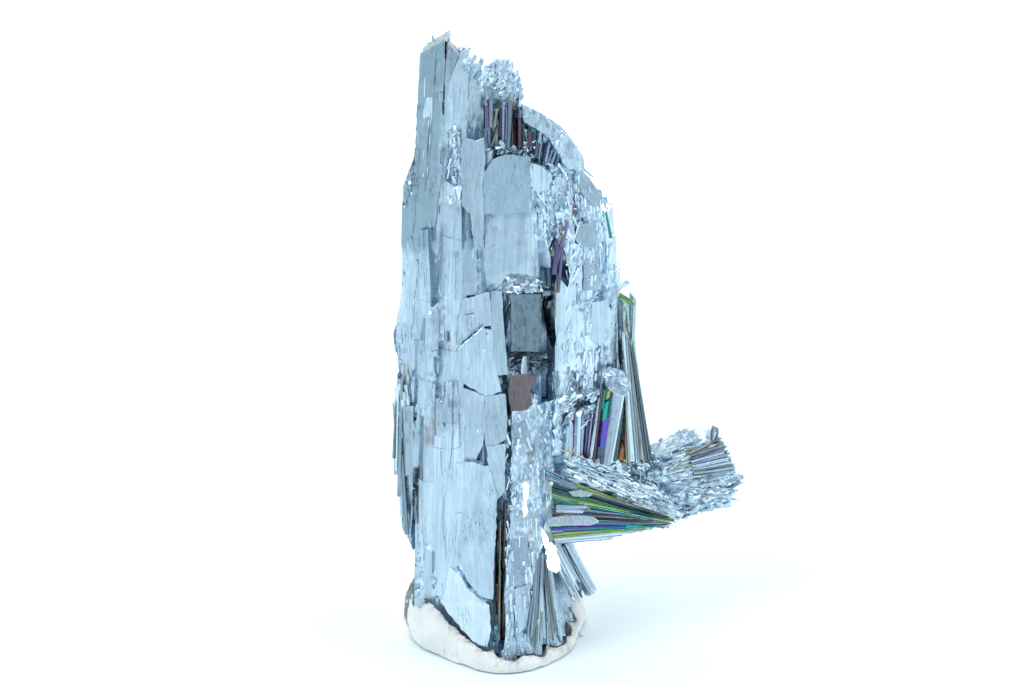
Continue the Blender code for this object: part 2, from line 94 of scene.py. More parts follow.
# ------------------------------------------------------------------ node help
class Wiring:
    """Adds nodes to a tree and links them."""

    def __init__(self, tree: bpy.types.NodeTree) -> None:
        """Keep the tree.

        Args:
            tree: shader or geometry node tree to fill.
        """
        self.tree = tree

    def add(self, kind: str, inputs: dict[str | int, Any] | None = None,
            **settings: Any) -> bpy.types.Node:
        """Add a node, set its properties and fill its inputs.

        Args:
            kind: the node's type name.
            inputs: socket or value by an input's name or number.
            settings: properties of the node.

        Returns:
            The new node.
        """
        node = self.tree.nodes.new(kind)
        for name, value in settings.items():
            setattr(node, name, value)
        self.fill(node, inputs or {})
        return node

    def fill(self, node: bpy.types.Node, inputs: dict[str | int, Any]) -> None:
        """Link or set several inputs of a node.

        Args:
            node: the node.
            inputs: socket or value by an input's name or number.
        """
        for key, value in inputs.items():
            self.feed(node.inputs[key], value)

    def feed(self, socket: bpy.types.NodeSocket, value: Any) -> None:
        """Link a socket to another, or set its plain value.

        Args:
            socket: the input to fill.
            value: an output socket or a plain value.
        """
        if isinstance(value, bpy.types.NodeSocket):
            self.tree.links.new(value, socket)
        else:
            socket.default_value = value

    def maths(self, operation: str, *values: Any) -> bpy.types.NodeSocket:
        """Work out one number from others.

        Args:
            operation: the maths node's operation.
            values: sockets or numbers, in the node's order.

        Returns:
            The socket with the result.
        """
        node = self.add("ShaderNodeMath", dict(enumerate(values)), operation=operation)
        return node.outputs[0]

    def vector(self, operation: str, *values: Any) -> bpy.types.NodeSocket:
        """Work out a vector, or a number, from vectors.

        Args:
            operation: the vector maths node's operation.
            values: sockets or vectors, in the node's order.

        Returns:
            The socket with the result.
        """
        node = self.add("ShaderNodeVectorMath", dict(enumerate(values)), operation=operation)
        name = "Value" if operation in {"DOT_PRODUCT", "LENGTH"} else "Vector"
        return node.outputs[name]

    def scaled(self, vector: Any, factor: Any) -> bpy.types.NodeSocket:
        """Scale a vector by a number.

        Args:
            vector: socket or vector.
            factor: socket or number.

        Returns:
            The socket with the scaled vector.
        """
        node = self.add("ShaderNodeVectorMath", {0: vector, "Scale": factor}, operation="SCALE")
        return node.outputs["Vector"]

    def noise(self, vector: Any, scale: Any, detail: float = 2.0,
              rough: float = 0.5) -> bpy.types.NodeSocket:
        """Read smooth noise at a place.

        Args:
            vector: the place.
            scale: how fast the noise changes.
            detail: number of finer layers.
            rough: how strong the finer layers are.

        Returns:
            The socket with the noise, about 0 to 1.
        """
        node = self.add("ShaderNodeTexNoise", {
            "Vector": vector, "Scale": scale, "Detail": detail, "Roughness": rough})
        return node.outputs[0]

    def warped(self, vector: Any, pitch: float, reach: Point) -> bpy.types.NodeSocket:
        """Push places about by smooth noise, so that cells lose their straight sides.

        Args:
            vector: the place.
            pitch: how fast the push changes.
            reach: how far it may push along each axis.

        Returns:
            The socket with the moved place.
        """
        node = self.add("ShaderNodeTexNoise", {"Vector": vector, "Scale": pitch, "Detail": 3.0})
        push = self.vector("SUBTRACT", node.outputs["Color"], (0.5, 0.5, 0.5))
        return self.vector("ADD", vector, self.vector("MULTIPLY", push, reach))

    def cells(self, vector: Any) -> bpy.types.Node:
        """Read cell noise at a place given in cell sizes."""
        return self.add("ShaderNodeTexVoronoi", {"Vector": vector, "Scale": 1.0})

    def split(self, vector: Any) -> bpy.types.Node:
        """Split a vector or a colour into its X, Y and Z."""
        return self.add("ShaderNodeSeparateXYZ", {0: vector})

    def ramp(self, value: Any, stops: Sequence[tuple[float, Colour]]) -> bpy.types.NodeSocket:
        """Turn a number into a colour through stops.

        Args:
            value: socket with the number.
            stops: place and colour of each stop, in order.

        Returns:
            The socket with the colour.
        """
        node = self.add("ShaderNodeValToRGB", {0: value})
        elements = node.color_ramp.elements
        while len(elements) > 1:
            elements.remove(elements[0])
        elements[0].position = stops[0][0]
        elements[0].color = self.opaque(stops[0][1])
        for place, colour in stops[1:]:
            elements.new(place).color = self.opaque(colour)
        return node.outputs[0]

    def window(self, value: Any, low: float, high: float) -> bpy.types.NodeSocket:
        """Rise smoothly from 0 at low to 1 at high.

        Args:
            value: socket with the number.
            low: where the rise starts.
            high: where it ends.

        Returns:
            The socket with the share.
        """
        node = self.add("ShaderNodeMapRange", {
            "Value": value, "From Min": low, "From Max": high}, interpolation_type="SMOOTHSTEP")
        return node.outputs[0]

    def blend(self, factor: Any, first: Any, second: Any) -> bpy.types.NodeSocket:
        """Blend two colours.

        Args:
            factor: how much of the second one shows.
            first: socket or colour.
            second: socket or colour.

        Returns:
            The socket with the blend.
        """
        node = self.add("ShaderNodeMix", {
            0: factor, 6: self.opaque(first), 7: self.opaque(second)}, data_type="RGBA")
        return node.outputs[2]

    @staticmethod
    def opaque(colour: Any) -> Any:
        """Give a plain colour its fourth value, and keep a socket as it is."""
        return (*colour, 1.0) if isinstance(colour, tuple) else colour

    def attribute(self, name: str, output: str) -> bpy.types.NodeSocket:
        """Read an attribute of the mesh in a shader tree."""
        return self.add("ShaderNodeAttribute", attribute_name=name).outputs[output]

    def call(self, group: bpy.types.NodeTree, **inputs: Any) -> bpy.types.Node:
        """Place a shader group and fill its inputs by name."""
        return self.add("ShaderNodeGroup", inputs, node_tree=group)


def new_group(name: str, kind: str, inputs: dict[str, tuple[str, Any]],
              outputs: dict[str, str]) -> tuple[Wiring, Any, Any]:
    """Make an empty node group with named sockets.

    Args:
        name: the group's name.
        kind: "ShaderNodeTree" or "GeometryNodeTree".
        inputs: socket type and default by input name.
        outputs: socket type by output name.

    Returns:
        The wiring, the group's input node and its output node.
    """
    tree = bpy.data.node_groups.new(name, kind)
    for label, (socket_type, default) in inputs.items():
        socket = tree.interface.new_socket(
            name=label, in_out="INPUT", socket_type=socket_type)
        if default is not None:
            socket.default_value = default
    for label, socket_type in outputs.items():
        tree.interface.new_socket(name=label, in_out="OUTPUT", socket_type=socket_type)
    wiring = Wiring(tree)
    return wiring, wiring.add("NodeGroupInput"), wiring.add("NodeGroupOutput")


MERGE = 0.002               # points nearer than this become one
FLOAT = "NodeSocketFloat"
VECTOR = "NodeSocketVector"
COLOUR = "NodeSocketColor"
GEOMETRY = "NodeSocketGeometry"


# ------------------------------------------------------------ modelling help
def deselect() -> None:
    """Leave object mode and drop every selection."""
    if bpy.context.mode != "OBJECT":
        bpy.ops.object.mode_set(mode="OBJECT")
    bpy.ops.object.select_all(action="DESELECT")


def take(obj: bpy.types.Object) -> None:
    """Make an object the only selected one, and active.

    Args:
        obj: the object.
    """
    deselect()
    obj.select_set(True)
    bpy.context.view_layer.objects.active = obj


def join(name: str, pieces: list[bpy.types.Object]) -> bpy.types.Object:
    """Join objects into one named object at the origin.

    Args:
        name: the joined object's name.
        pieces: the objects to join.

    Returns:
        The joined object.
    """
    deselect()
    for piece in pieces:
        piece.select_set(True)
    bpy.context.view_layer.objects.active = pieces[0]
    bpy.ops.object.join()
    pieces[0].name = name
    pieces[0].data.name = name
    return pieces[0]


def copy_node(node: str, name: str) -> bpy.types.Object:
    """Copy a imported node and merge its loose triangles.

    Args:
        node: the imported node's name.
        name: the copy's name.

    Returns:
        The copy, visible and without materials.
    """
    source = bpy.data.objects[node]
    copy = source.copy()
    copy.data = source.data.copy()
    copy.name = name
    copy.parent = None
    copy.matrix_world = Matrix.Identity(4)
    bpy.context.scene.collection.objects.link(copy)
    copy.hide_render = False
    copy.hide_viewport = False
    take(copy)
    bpy.ops.object.mode_set(mode="EDIT")
    bpy.ops.mesh.select_all(action="SELECT")
    bpy.ops.mesh.remove_doubles(threshold=MERGE * MM)
    bpy.ops.object.mode_set(mode="OBJECT")
    copy.data.materials.clear()
    return copy


def apply_modifiers(obj: bpy.types.Object) -> None:
    """Apply every modifier in order."""
    take(obj)
    for modifier in list(obj.modifiers):
        bpy.ops.object.modifier_apply(modifier=modifier.name)


def mesh_points(mesh: bpy.types.Mesh) -> np.ndarray:
    """Read a mesh's points.

    Args:
        mesh: the mesh.

    Returns:
        One row a point, in millimetres.
    """
    flat = np.empty(len(mesh.vertices) * 3, dtype=np.float32)
    mesh.vertices.foreach_get("co", flat)
    return flat.reshape(-1, 3) / MM


def move_points(mesh: bpy.types.Mesh, points: np.ndarray) -> None:
    """Put a mesh's points at places given in millimetres, one row a point."""
    mesh.vertices.foreach_set("co", (points * MM).astype(np.float32).ravel())


def paint(mesh: bpy.types.Mesh, name: str, kind: str, values: np.ndarray) -> None:
    """Store one value a point in a named attribute.

    Args:
        mesh: the mesh.
        name: the attribute's name.
        kind: its data type.
        values: one row a point.
    """
    layer = mesh.attributes.get(name) or mesh.attributes.new(name, kind, "POINT")
    label = {"FLOAT": "value", "FLOAT_VECTOR": "vector", "FLOAT_COLOR": "color"}[kind]
    layer.data.foreach_set(label, values.astype(np.float32).ravel())


# ------------------------------------------------------------------ the view
class Eye:
    """The camera's geometry, which places things by a pixel on a surface."""

    def __init__(self) -> None:
        """Work out the camera's place and axes."""
        tilt = math.radians(ELEVATION)
        rise = (ZERO_Y - IMAGE_HEIGHT / 2) * SCALE / math.cos(tilt)
        self.target = Vector(((IMAGE_WIDTH / 2 - ZERO_X) * SCALE, 0.0, rise))
        self.forward = Vector((0.0, math.cos(tilt), -math.sin(tilt)))
        self.right = Vector((1.0, 0.0, 0.0))
        self.up = self.right.cross(self.forward)
        self.place = self.target - self.forward * DISTANCE
        self.focal = DISTANCE / SCALE

    def ray(self, pixel: Pixel) -> Vector:
        """Point from the camera through a pixel.

        Args:
            pixel: the pixel.

        Returns:
            The ray's direction, of unit length.
        """
        across = (pixel[0] - IMAGE_WIDTH / 2) / self.focal
        down = (pixel[1] - IMAGE_HEIGHT / 2) / self.focal
        return (self.forward + self.right * across - self.up * down).normalized()

    def pixels(self, points: np.ndarray) -> np.ndarray:
        """Find the pixels of many points.

        Args:
            points: one row a point, in millimetres.

        Returns:
            One pixel a row.
        """
        offset = points - np.array(self.place)
        away = offset @ np.array(self.forward)
        across = offset @ np.array(self.right) / away * self.focal
        up = offset @ np.array(self.up) / away * self.focal
        return np.stack([IMAGE_WIDTH / 2 + across, IMAGE_HEIGHT / 2 - up], axis=1)

    def onto(self, skin: BVHTree, pixel: Pixel) -> tuple[Vector, Vector] | None:
        """Find where a pixel's ray meets a surface.

        Args:
            skin: the surface.
            pixel: the pixel.

        Returns:
            The place in millimetres and the surface's normal, or None.
        """
        hit, normal, _, _ = skin.ray_cast(self.place * MM, self.ray(pixel))
        return (hit / MM, normal) if hit else None

    def at_depth(self, pixel: Pixel, depth: float) -> Vector:
        """Find where a pixel's ray crosses a depth.

        Args:
            pixel: the pixel.
            depth: Y in millimetres.

        Returns:
            The place in millimetres.
        """
        ray = self.ray(pixel)
        return self.place + ray * ((depth - self.place.y) / ray.y)

    def build(self) -> None:
        """Make the camera."""
        data = bpy.data.cameras.new("view")
        data.sensor_width = SENSOR
        data.lens = SENSOR * self.focal / IMAGE_WIDTH
        data.clip_end = FAR
        camera = bpy.data.objects.new("view", data)
        camera.location = self.place * MM
        camera.rotation_euler = self.forward.to_track_quat("-Z", "Y").to_euler()
        bpy.context.scene.collection.objects.link(camera)
        bpy.context.scene.camera = camera


# ----------------------------------------------------------------- the studio
@dataclass(frozen=True)
class Lamp:
    """A square soft lamp: place and side in millimetres, power in watts."""

    name: str
    place: Point
    size: float
    power: float
    colour: Colour

    def build(self, aim: Point) -> None:
        """Make the lamp.

        Args:
            aim: the place that it faces, in millimetres.
        """
        data = bpy.data.lights.new(self.name, "AREA")
        data.energy = self.power
        data.size = self.size * MM
        data.color = self.colour
        lamp = bpy.data.objects.new(self.name, data)
        lamp.location = Vector(self.place) * MM
        way = Vector(aim) - Vector(self.place)
        lamp.rotation_euler = way.to_track_quat("-Z", "Y").to_euler()
        bpy.context.scene.collection.objects.link(lamp)


@dataclass
class Studio:
    """Plain pale floor, soft lamps and a pale surround."""

    floor_size: float = 6000.0
    floor_colour: Colour = (0.825, 0.91, 0.935)
    floor_rough: float = 0.9
    floor_sheen: float = 0.1
    aim: Point = (0.0, 0.0, 45.0)
    lamps: tuple[Lamp, ...] = (
        Lamp("key", (-260, -180, 420), 260, 0.85, (0.97, 0.99, 1.0)),
        Lamp("fill", (380, -60, 330), 300, 0.55, (0.94, 0.98, 1.0)),
        Lamp("back", (40, 420, 300), 360, 0.5, (1.0, 1.0, 1.0)))
    world_strength: float = 1.15
    world_tones: tuple[tuple[float, Colour], ...] = (
        (0.0, (0.40, 0.50, 0.57)), (0.35, (0.60, 0.70, 0.77)),
        (0.65, (0.88, 0.95, 0.98)), (1.0, (1.0, 1.0, 1.0)))

    def build(self) -> None:
        """Make the floor, the lamps and the surround."""
        self.build_floor()
        for lamp in self.lamps:
            lamp.build(self.aim)
        self.build_world()
        settings = bpy.context.scene.view_settings
        settings.view_transform = "Standard"
        settings.look = "None"

    def build_floor(self) -> None:
        """Make the floor, which is stage."""
        deselect()
        bpy.ops.mesh.primitive_plane_add(size=self.floor_size * MM)
        floor = bpy.context.active_object
        floor.name = "floor"
        material = bpy.data.materials.new("floor_paper")
        material.use_nodes = True
        shader = material.node_tree.nodes["Principled BSDF"]
        Wiring(material.node_tree).fill(shader, {
            "Base Color": (*self.floor_colour, 1.0), "Roughness": self.floor_rough,
            "Specular IOR Level": self.floor_sheen})
        floor.data.materials.append(material)
        floor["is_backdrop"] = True

    def build_world(self) -> None:
        """Make the surround: pale, and greyer towards the viewer's side."""
        world = bpy.data.worlds.new("surround")
        bpy.context.scene.world = world
        world.use_nodes = True
        wiring = Wiring(world.node_tree)
        background = world.node_tree.nodes["Background"]
        facing = wiring.add("ShaderNodeTexCoord").outputs["Generated"]
        front = wiring.window(wiring.split(facing).outputs["Y"], -1.0, 0.45)
        wiring.fill(background, {
            "Color": wiring.ramp(front, self.world_tones), "Strength": self.world_strength})


# ------------------------------------------------------- geometry node groups
@dataclass(frozen=True)
class StepLayer:
    """One layer of steps: cell size, depth input, lean, place and share of it."""

    size: Point
    depth: str
    lean: float
    torn: bool
    share: float


STEP_LAYERS = (
    StepLayer((3.2, 3.2, 34.0), "Long Step", 0.025, False, 1.0),
    StepLayer((1.2, 1.2, 19.0), "Long Step", 0.04, False, 0.32),
    StepLayer((1.9, 1.9, 6.5), "Broken Step", 0.20, True, 1.0),
    StepLayer((0.8, 0.8, 2.4), "Broken Step", 0.30, True, 0.6))
CALMED = 0.7                # how much a broken face loses of its long steps
SIZE_SEED = 7
HUE_SEED = 3


class Cleaver:
    """Geometry node groups that break a surface into steps and set flakes."""

    def __init__(self) -> None:
        """Build both groups."""
        self.steps = self.build_steps()
        self.scatter = self.build_scatter()

    @staticmethod
    def build_steps() -> bpy.types.NodeTree:
        """Build the group that sinks cells of a surface to stepped depths.

        Returns:
            The node group.
        """
        wiring, source, result = new_group("cleavage_steps", "GeometryNodeTree", {
            "Geometry": (GEOMETRY, None), "Long Step": (FLOAT, 0.0003),
            "Broken Step": (FLOAT, 0.0006), "Groove": (FLOAT, 0.00006),
            "Seed": (FLOAT, 0.0)}, {"Geometry": GEOMETRY})
        grain = Cleaver.read(wiring, "grain", "FLOAT_VECTOR")
        broken = Cleaver.read(wiring, "broken")
        calm = Cleaver.read(wiring, "calm")
        place = wiring.vector("ADD", grain, wiring.scaled(
            (0.9, 0.4, 1.7), source.outputs["Seed"]))
        place = wiring.warped(place, 0.30, (1.6, 1.6, 9.0))
        whole = wiring.maths("SUBTRACT", 1.0, wiring.maths("MULTIPLY", broken, CALMED))
        whole = wiring.maths("MULTIPLY", whole, wiring.maths("SUBTRACT", 1.0, calm))
        depth = None
        for layer in STEP_LAYERS:
            level = Cleaver.sink(wiring, place, layer, source.outputs[layer.depth])
            level = wiring.maths("MULTIPLY", level, wiring.maths(
                "MULTIPLY", broken if layer.torn else whole, layer.share))
            depth = level if depth is None else wiring.maths("ADD", depth, level)
        fine = wiring.vector("DIVIDE", place, (0.55, 0.55, 26.0))
        groove = wiring.maths("MULTIPLY", wiring.noise(fine, 1.0, 1.0), source.outputs["Groove"])
        depth = wiring.maths("MINIMUM", wiring.maths("SUBTRACT", depth, groove), 0.0)
        normal = wiring.add("GeometryNodeInputNormal").outputs[0]
        move = wiring.add("GeometryNodeSetPosition", {
            "Geometry": source.outputs["Geometry"], "Offset": wiring.scaled(normal, depth)})
        wiring.feed(result.inputs["Geometry"], move.outputs[0])
        return wiring.tree

    @staticmethod
    def read(wiring: Wiring, name: Any, kind: str = "FLOAT") -> bpy.types.NodeSocket:
        """Read an attribute of the mesh in a geometry tree.

        Args:
            wiring: the group's wiring.
            name: the attribute's name, or the socket that gives it.
            kind: its data type.

        Returns:
            The socket with its value.
        """
        node = wiring.add("GeometryNodeInputNamedAttribute", {"Name": name}, data_type=kind)
        return node.outputs[0]

    @staticmethod
    def sink(wiring: Wiring, place: bpy.types.NodeSocket, layer: StepLayer,
             depth: bpy.types.NodeSocket) -> bpy.types.NodeSocket:
        """Work out how far each cell of a layer lies below the surface.

        Args:
            wiring: the group's wiring.
            place: the place in the grain.
            layer: the layer of steps.
            depth: the input with its deepest step.

        Returns:
            The socket with the level, which leans a little within a cell.
        """
        scaled = wiring.vector("DIVIDE", place, layer.size)
        cell = wiring.cells(scaled)
        sunk = wiring.maths("MULTIPLY", wiring.split(cell.outputs["Color"]).outputs["X"], depth)
        slope = wiring.vector("SUBTRACT", cell.outputs["Color"], (0.5, 0.5, 0.5))
        reach = wiring.vector("MULTIPLY", wiring.vector(
            "SUBTRACT", scaled, cell.outputs["Position"]), layer.size)
        lean = wiring.vector("DOT_PRODUCT", slope, reach)
        lean = wiring.maths("MULTIPLY", lean, layer.lean * MM)
        return wiring.maths("SUBTRACT", lean, sunk)

    @staticmethod
    def build_scatter() -> bpy.types.NodeTree:
        """Build the group that lays copies of a flake on a surface.

        Returns:
            The node group.
        """
        wiring, source, result = new_group("lay_flakes", "GeometryNodeTree", {
            "Geometry": (GEOMETRY, None), "Flake": ("NodeSocketObject", None),
            "Density": (FLOAT, 1.0), "Seed": ("NodeSocketInt", 0),
            "Smallest": (VECTOR, (1.0, 1.0, 1.0)), "Largest": (VECTOR, (1.0, 1.0, 1.0)),
            "Tilt": (FLOAT, 0.1), "Spin": (FLOAT, 0.1), "Lift": (FLOAT, 0.0),
            "Mask": ("NodeSocketString", "broken")}, {"Geometry": GEOMETRY})
        mask = Cleaver.read(wiring, source.outputs["Mask"])
        axis = Cleaver.read(wiring, "along", "FLOAT_VECTOR")
        spread = wiring.add("GeometryNodeDistributePointsOnFaces", {
            "Mesh": source.outputs["Geometry"], "Seed": source.outputs["Seed"],
            "Density": wiring.maths("MULTIPLY", source.outputs["Density"], mask)})
        upward = wiring.add("FunctionNodeAlignRotationToVector", {
            "Vector": spread.outputs["Normal"]}, axis="Z")
        along = wiring.add("FunctionNodeAlignRotationToVector", {
            "Rotation": upward.outputs[0], "Vector": axis}, axis="Y", pivot_axis="Z")
        bend = wiring.add("ShaderNodeCombineXYZ", {
            label: source.outputs[amount]
            for label, amount in (("X", "Tilt"), ("Y", "Tilt"), ("Z", "Spin"))}).outputs[0]
        turn = wiring.add("FunctionNodeRandomValue", {
            "Max": bend, "Min": wiring.scaled(bend, -1.0)}, data_type="FLOAT_VECTOR")
        swing = wiring.add("FunctionNodeEulerToRotation", {0: turn.outputs[0]})
        turned = wiring.add("FunctionNodeRotateRotation", {
            0: along.outputs[0], 1: swing.outputs[0]}, rotation_space="LOCAL")
        size = wiring.add("FunctionNodeRandomValue", {
            "Min": source.outputs["Smallest"], "Max": source.outputs["Largest"],
            "Seed": SIZE_SEED}, data_type="FLOAT_VECTOR")
        flake = wiring.add("GeometryNodeObjectInfo", {
            "Object": source.outputs["Flake"]}, transform_space="ORIGINAL")
        lifted = wiring.add("GeometryNodeSetPosition", {
            "Geometry": spread.outputs["Points"],
            "Offset": wiring.scaled(spread.outputs["Normal"], source.outputs["Lift"])})
        stamp = wiring.add("GeometryNodeInstanceOnPoints", {
            "Points": lifted.outputs[0], "Instance": flake.outputs["Geometry"],
            "Rotation": turned.outputs[0], "Scale": size.outputs[0]})
        shade = wiring.add("FunctionNodeRandomValue", {"Seed": HUE_SEED}, data_type="FLOAT")
        mark = wiring.add("GeometryNodeStoreNamedAttribute", {
            "Name": "hue", "Geometry": stamp.outputs[0], "Value": shade.outputs[1]},
            data_type="FLOAT", domain="INSTANCE")
        real = wiring.add("GeometryNodeRealizeInstances", {0: mark.outputs[0]})
        wiring.feed(result.inputs["Geometry"], real.outputs[0])
        return wiring.tree


def add_nodes(obj: bpy.types.Object, tree: bpy.types.NodeTree, **values: Any) -> None:
    """Add a geometry nodes modifier with its input values, and apply it.

    Args:
        obj: the object to change.
        tree: the node group.
        values: input values; underscores in names stand for spaces.
    """
    modifier = obj.modifiers.new(tree.name, "NODES")
    modifier.node_group = tree
    keys = {item.name: item.identifier for item in tree.interface.items_tree
            if item.item_type == "SOCKET" and item.in_out == "INPUT"}
    for name, value in values.items():
        modifier[keys[name.replace("_", " ")]] = value
    apply_modifiers(obj)


# -------------------------------------------------------------- shader groups
# The film's colours in the order in which it thickens, over one cycle.
FILM_COLOURS: tuple[tuple[float, Colour], ...] = (
    (0.0, (0.40, 0.46, 0.48)), (0.09, (0.60, 0.52, 0.22)), (0.18, (0.58, 0.30, 0.08)),
    (0.26, (0.50, 0.09, 0.22)), (0.35, (0.24, 0.07, 0.42)), (0.45, (0.05, 0.13, 0.52)),
    (0.54, (0.03, 0.36, 0.52)), (0.64, (0.03, 0.40, 0.22)), (0.74, (0.20, 0.52, 0.10)),
    (0.84, (0.56, 0.54, 0.16)), (0.93, (0.46, 0.48, 0.42)), (1.0, (0.40, 0.46, 0.48)))
CRACK_COLOUR = (0.05, 0.07, 0.09)


class ShaderGroups:
    """Shared effects of the crystal materials."""

    def __init__(self) -> None:
        """Build each group once."""
        self.facets = self.build_facets()
        self.striae = self.build_striae()
        self.film = self.build_film()
        self.metal = self.build_metal()

    @staticmethod
    def build_facets() -> bpy.types.NodeTree:
        """Tilt the normal cell by cell, as small cleaved facets do.

        Returns:
            The node group.
        """
        wiring, source, result = new_group("facet_tilt", "ShaderNodeTree", {
            "Grain": (VECTOR, (0, 0, 0)), "Cell": (VECTOR, (1, 1, 8)),
            "Tilt": (FLOAT, 0.1)}, {"Normal": VECTOR, "Tone": FLOAT})
        place = wiring.warped(source.outputs["Grain"], 0.45, (0.9, 0.9, 4.0))
        scaled = wiring.vector("DIVIDE", place, source.outputs["Cell"])
        cell = wiring.cells(scaled)
        lean = wiring.vector("SUBTRACT", cell.outputs["Color"], (0.5, 0.5, 0.5))
        lean = wiring.scaled(lean, source.outputs["Tilt"])
        normal = wiring.add("ShaderNodeNewGeometry").outputs["Normal"]
        tilted = wiring.vector("NORMALIZE", wiring.vector("ADD", normal, lean))
        wiring.fill(result, {
            "Normal": tilted, "Tone": wiring.split(cell.outputs["Color"]).outputs["Z"]})
        return wiring.tree

    @staticmethod
    def build_striae() -> bpy.types.NodeTree:
        """Fine grooves along the grain, and thin breaks across it.

        Returns:
            The node group.
        """
        wiring, source, result = new_group("striae", "ShaderNodeTree", {
            "Grain": (VECTOR, (0, 0, 0)), "Pitch": (FLOAT, 0.3)},
            {"Height": FLOAT, "Crack": FLOAT})
        pitch = source.outputs["Pitch"]
        across = wiring.add("ShaderNodeCombineXYZ", {
            label: wiring.maths("MULTIPLY", pitch, stretch)
            for label, stretch in (("X", 1.0), ("Y", 1.0), ("Z", 70.0))})
        scaled = wiring.vector("DIVIDE", source.outputs["Grain"], across.outputs[0])
        coarse = wiring.noise(scaled, 1.0, 3.0, 0.65)
        fine = wiring.noise(scaled, 3.7, 2.0, 0.7)
        height = wiring.maths("ADD", coarse, wiring.maths("MULTIPLY", fine, 0.5))
        slit = wiring.noise(wiring.vector(
            "DIVIDE", source.outputs["Grain"], (0.5, 0.5, 9.0)), 1.0, 3.0, 0.6)
        thin = wiring.maths("ABSOLUTE", wiring.maths("SUBTRACT", slit, 0.5))
        gap = wiring.maths("SUBTRACT", 1.0, wiring.window(thin, 0.0, 0.016))
        patch = wiring.window(wiring.noise(source.outputs["Grain"], 0.17, 2.0), 0.50, 0.62)
        wiring.fill(result, {"Height": height, "Crack": wiring.maths("MULTIPLY", gap, patch)})
        return wiring.tree

    @staticmethod
    def build_film() -> bpy.types.NodeTree:
        """The tarnish film's colours, which run in bands along the grain.

        Returns:
            The node group.
        """
        wiring, source, result = new_group("tarnish_film", "ShaderNodeTree", {
            "Grain": (VECTOR, (0, 0, 0)), "Phase": (FLOAT, 0.0),
            "Spread": (FLOAT, 0.5), "Hue": (FLOAT, 0.5)}, {"Color": COLOUR})
        stretch = wiring.vector("DIVIDE", source.outputs["Grain"], (0.30, 0.30, 11.0))
        drift = wiring.maths("SUBTRACT", wiring.noise(stretch, 1.0, 2.0, 0.5), 0.5)
        drift = wiring.maths("MULTIPLY", drift, 2.2)
        own = wiring.maths("SUBTRACT", source.outputs["Hue"], 0.5)
        thickness = wiring.maths("MULTIPLY", wiring.maths("ADD", drift, own),
                                 source.outputs["Spread"])
        thickness = wiring.maths("ADD", thickness, source.outputs["Phase"])
        cycle = wiring.maths("FRACT", wiring.maths("ADD", thickness, 2.0))
        wiring.feed(result.inputs["Color"], wiring.ramp(cycle, FILM_COLOURS))
        return wiring.tree

    def build_metal(self) -> bpy.types.NodeTree:
        """The crystals' colour, roughness and normal from all the effects.

        Returns:
            The node group.
        """
        wiring, source, result = new_group("stibnite_face", "ShaderNodeTree", {
            "Dark": (COLOUR, (0.2, 0.3, 0.4, 1)), "Pale": (COLOUR, (0.5, 0.66, 0.77, 1)),
            "Film": (FLOAT, 0.0), "Phase": (FLOAT, 0.0), "Spread": (FLOAT, 0.5),
            "Tilt": (FLOAT, 0.12),
            "Pitch": (FLOAT, 0.3), "Relief": (FLOAT, 0.4), "Rough": (FLOAT, 0.24)},
            {"Color": COLOUR, "Roughness": FLOAT, "Normal": VECTOR})
        grain = wiring.attribute("grain", "Vector")
        hue = wiring.attribute("hue", "Fac")
        broken = wiring.attribute("broken", "Fac")
        colour_and_shade = wiring.add("ShaderNodeAttribute", attribute_name="colour_and_shade")
        striae = wiring.call(self.striae, Grain=grain, Pitch=source.outputs["Pitch"])
        long_tilt = wiring.call(self.facets, Grain=grain, Cell=(1.1, 1.1, 9.0),
                                Tilt=source.outputs["Tilt"])
        chip_tilt = wiring.call(self.facets, Grain=grain, Cell=(0.42, 0.42, 0.7),
                                Tilt=wiring.maths("MULTIPLY", broken, 0.62))
        normal = wiring.vector("NORMALIZE", wiring.vector(
            "ADD", long_tilt.outputs["Normal"], chip_tilt.outputs["Normal"]))
        bump = wiring.add("ShaderNodeBump", {
            "Strength": source.outputs["Relief"], "Distance": 0.06 * MM, "Normal": normal,
            "Height": wiring.maths(
                "SUBTRACT", striae.outputs["Height"], striae.outputs["Crack"])})
        cloud = wiring.noise(wiring.vector("DIVIDE", grain, (1.8, 1.8, 12.0)), 1.0, 4.0, 0.62)
        streak = wiring.noise(wiring.vector("DIVIDE", grain, (0.38, 0.38, 15.0)), 1.0, 4.0, 0.6)
        cloud = wiring.maths("ADD", wiring.maths("MULTIPLY", cloud, 0.45),
                             wiring.maths("MULTIPLY", streak, 0.65))
        tone = wiring.maths("ADD", cloud, wiring.maths("MULTIPLY", hue, 0.35))
        tone = wiring.maths("ADD", tone, wiring.maths(
            "MULTIPLY", chip_tilt.outputs["Tone"], wiring.maths("MULTIPLY", broken, 0.5)))
        colour = wiring.blend(wiring.window(tone, 0.36, 1.0),
                              source.outputs["Dark"], source.outputs["Pale"])
        film = wiring.call(self.film, Grain=grain, Phase=source.outputs["Phase"],
                           Spread=source.outputs["Spread"], Hue=hue)
        patch = wiring.window(wiring.noise(
            wiring.vector("DIVIDE", grain, (0.5, 0.5, 9.0)), 1.0, 3.0, 0.6), 0.34, 0.50)
        share = wiring.maths("MULTIPLY", patch, wiring.maths(
            "MAXIMUM", source.outputs["Film"], wiring.attribute("film", "Fac")))
        colour = wiring.blend(share, colour, film.outputs[0])
        # Lay the zones' tints and painted shade over the colour.
        colour = wiring.blend(colour_and_shade.outputs["Alpha"], colour, colour_and_shade.outputs["Color"])
        colour = wiring.blend(wiring.maths("MULTIPLY", striae.outputs["Crack"], 0.75),
                              colour, CRACK_COLOUR)
        rough = wiring.maths("ADD", source.outputs["Rough"], wiring.maths(
            "MULTIPLY", wiring.noise(grain, 0.7, 3.0), 0.16))
        rough = wiring.maths("ADD", rough, wiring.maths("MULTIPLY", striae.outputs["Crack"], 0.3))
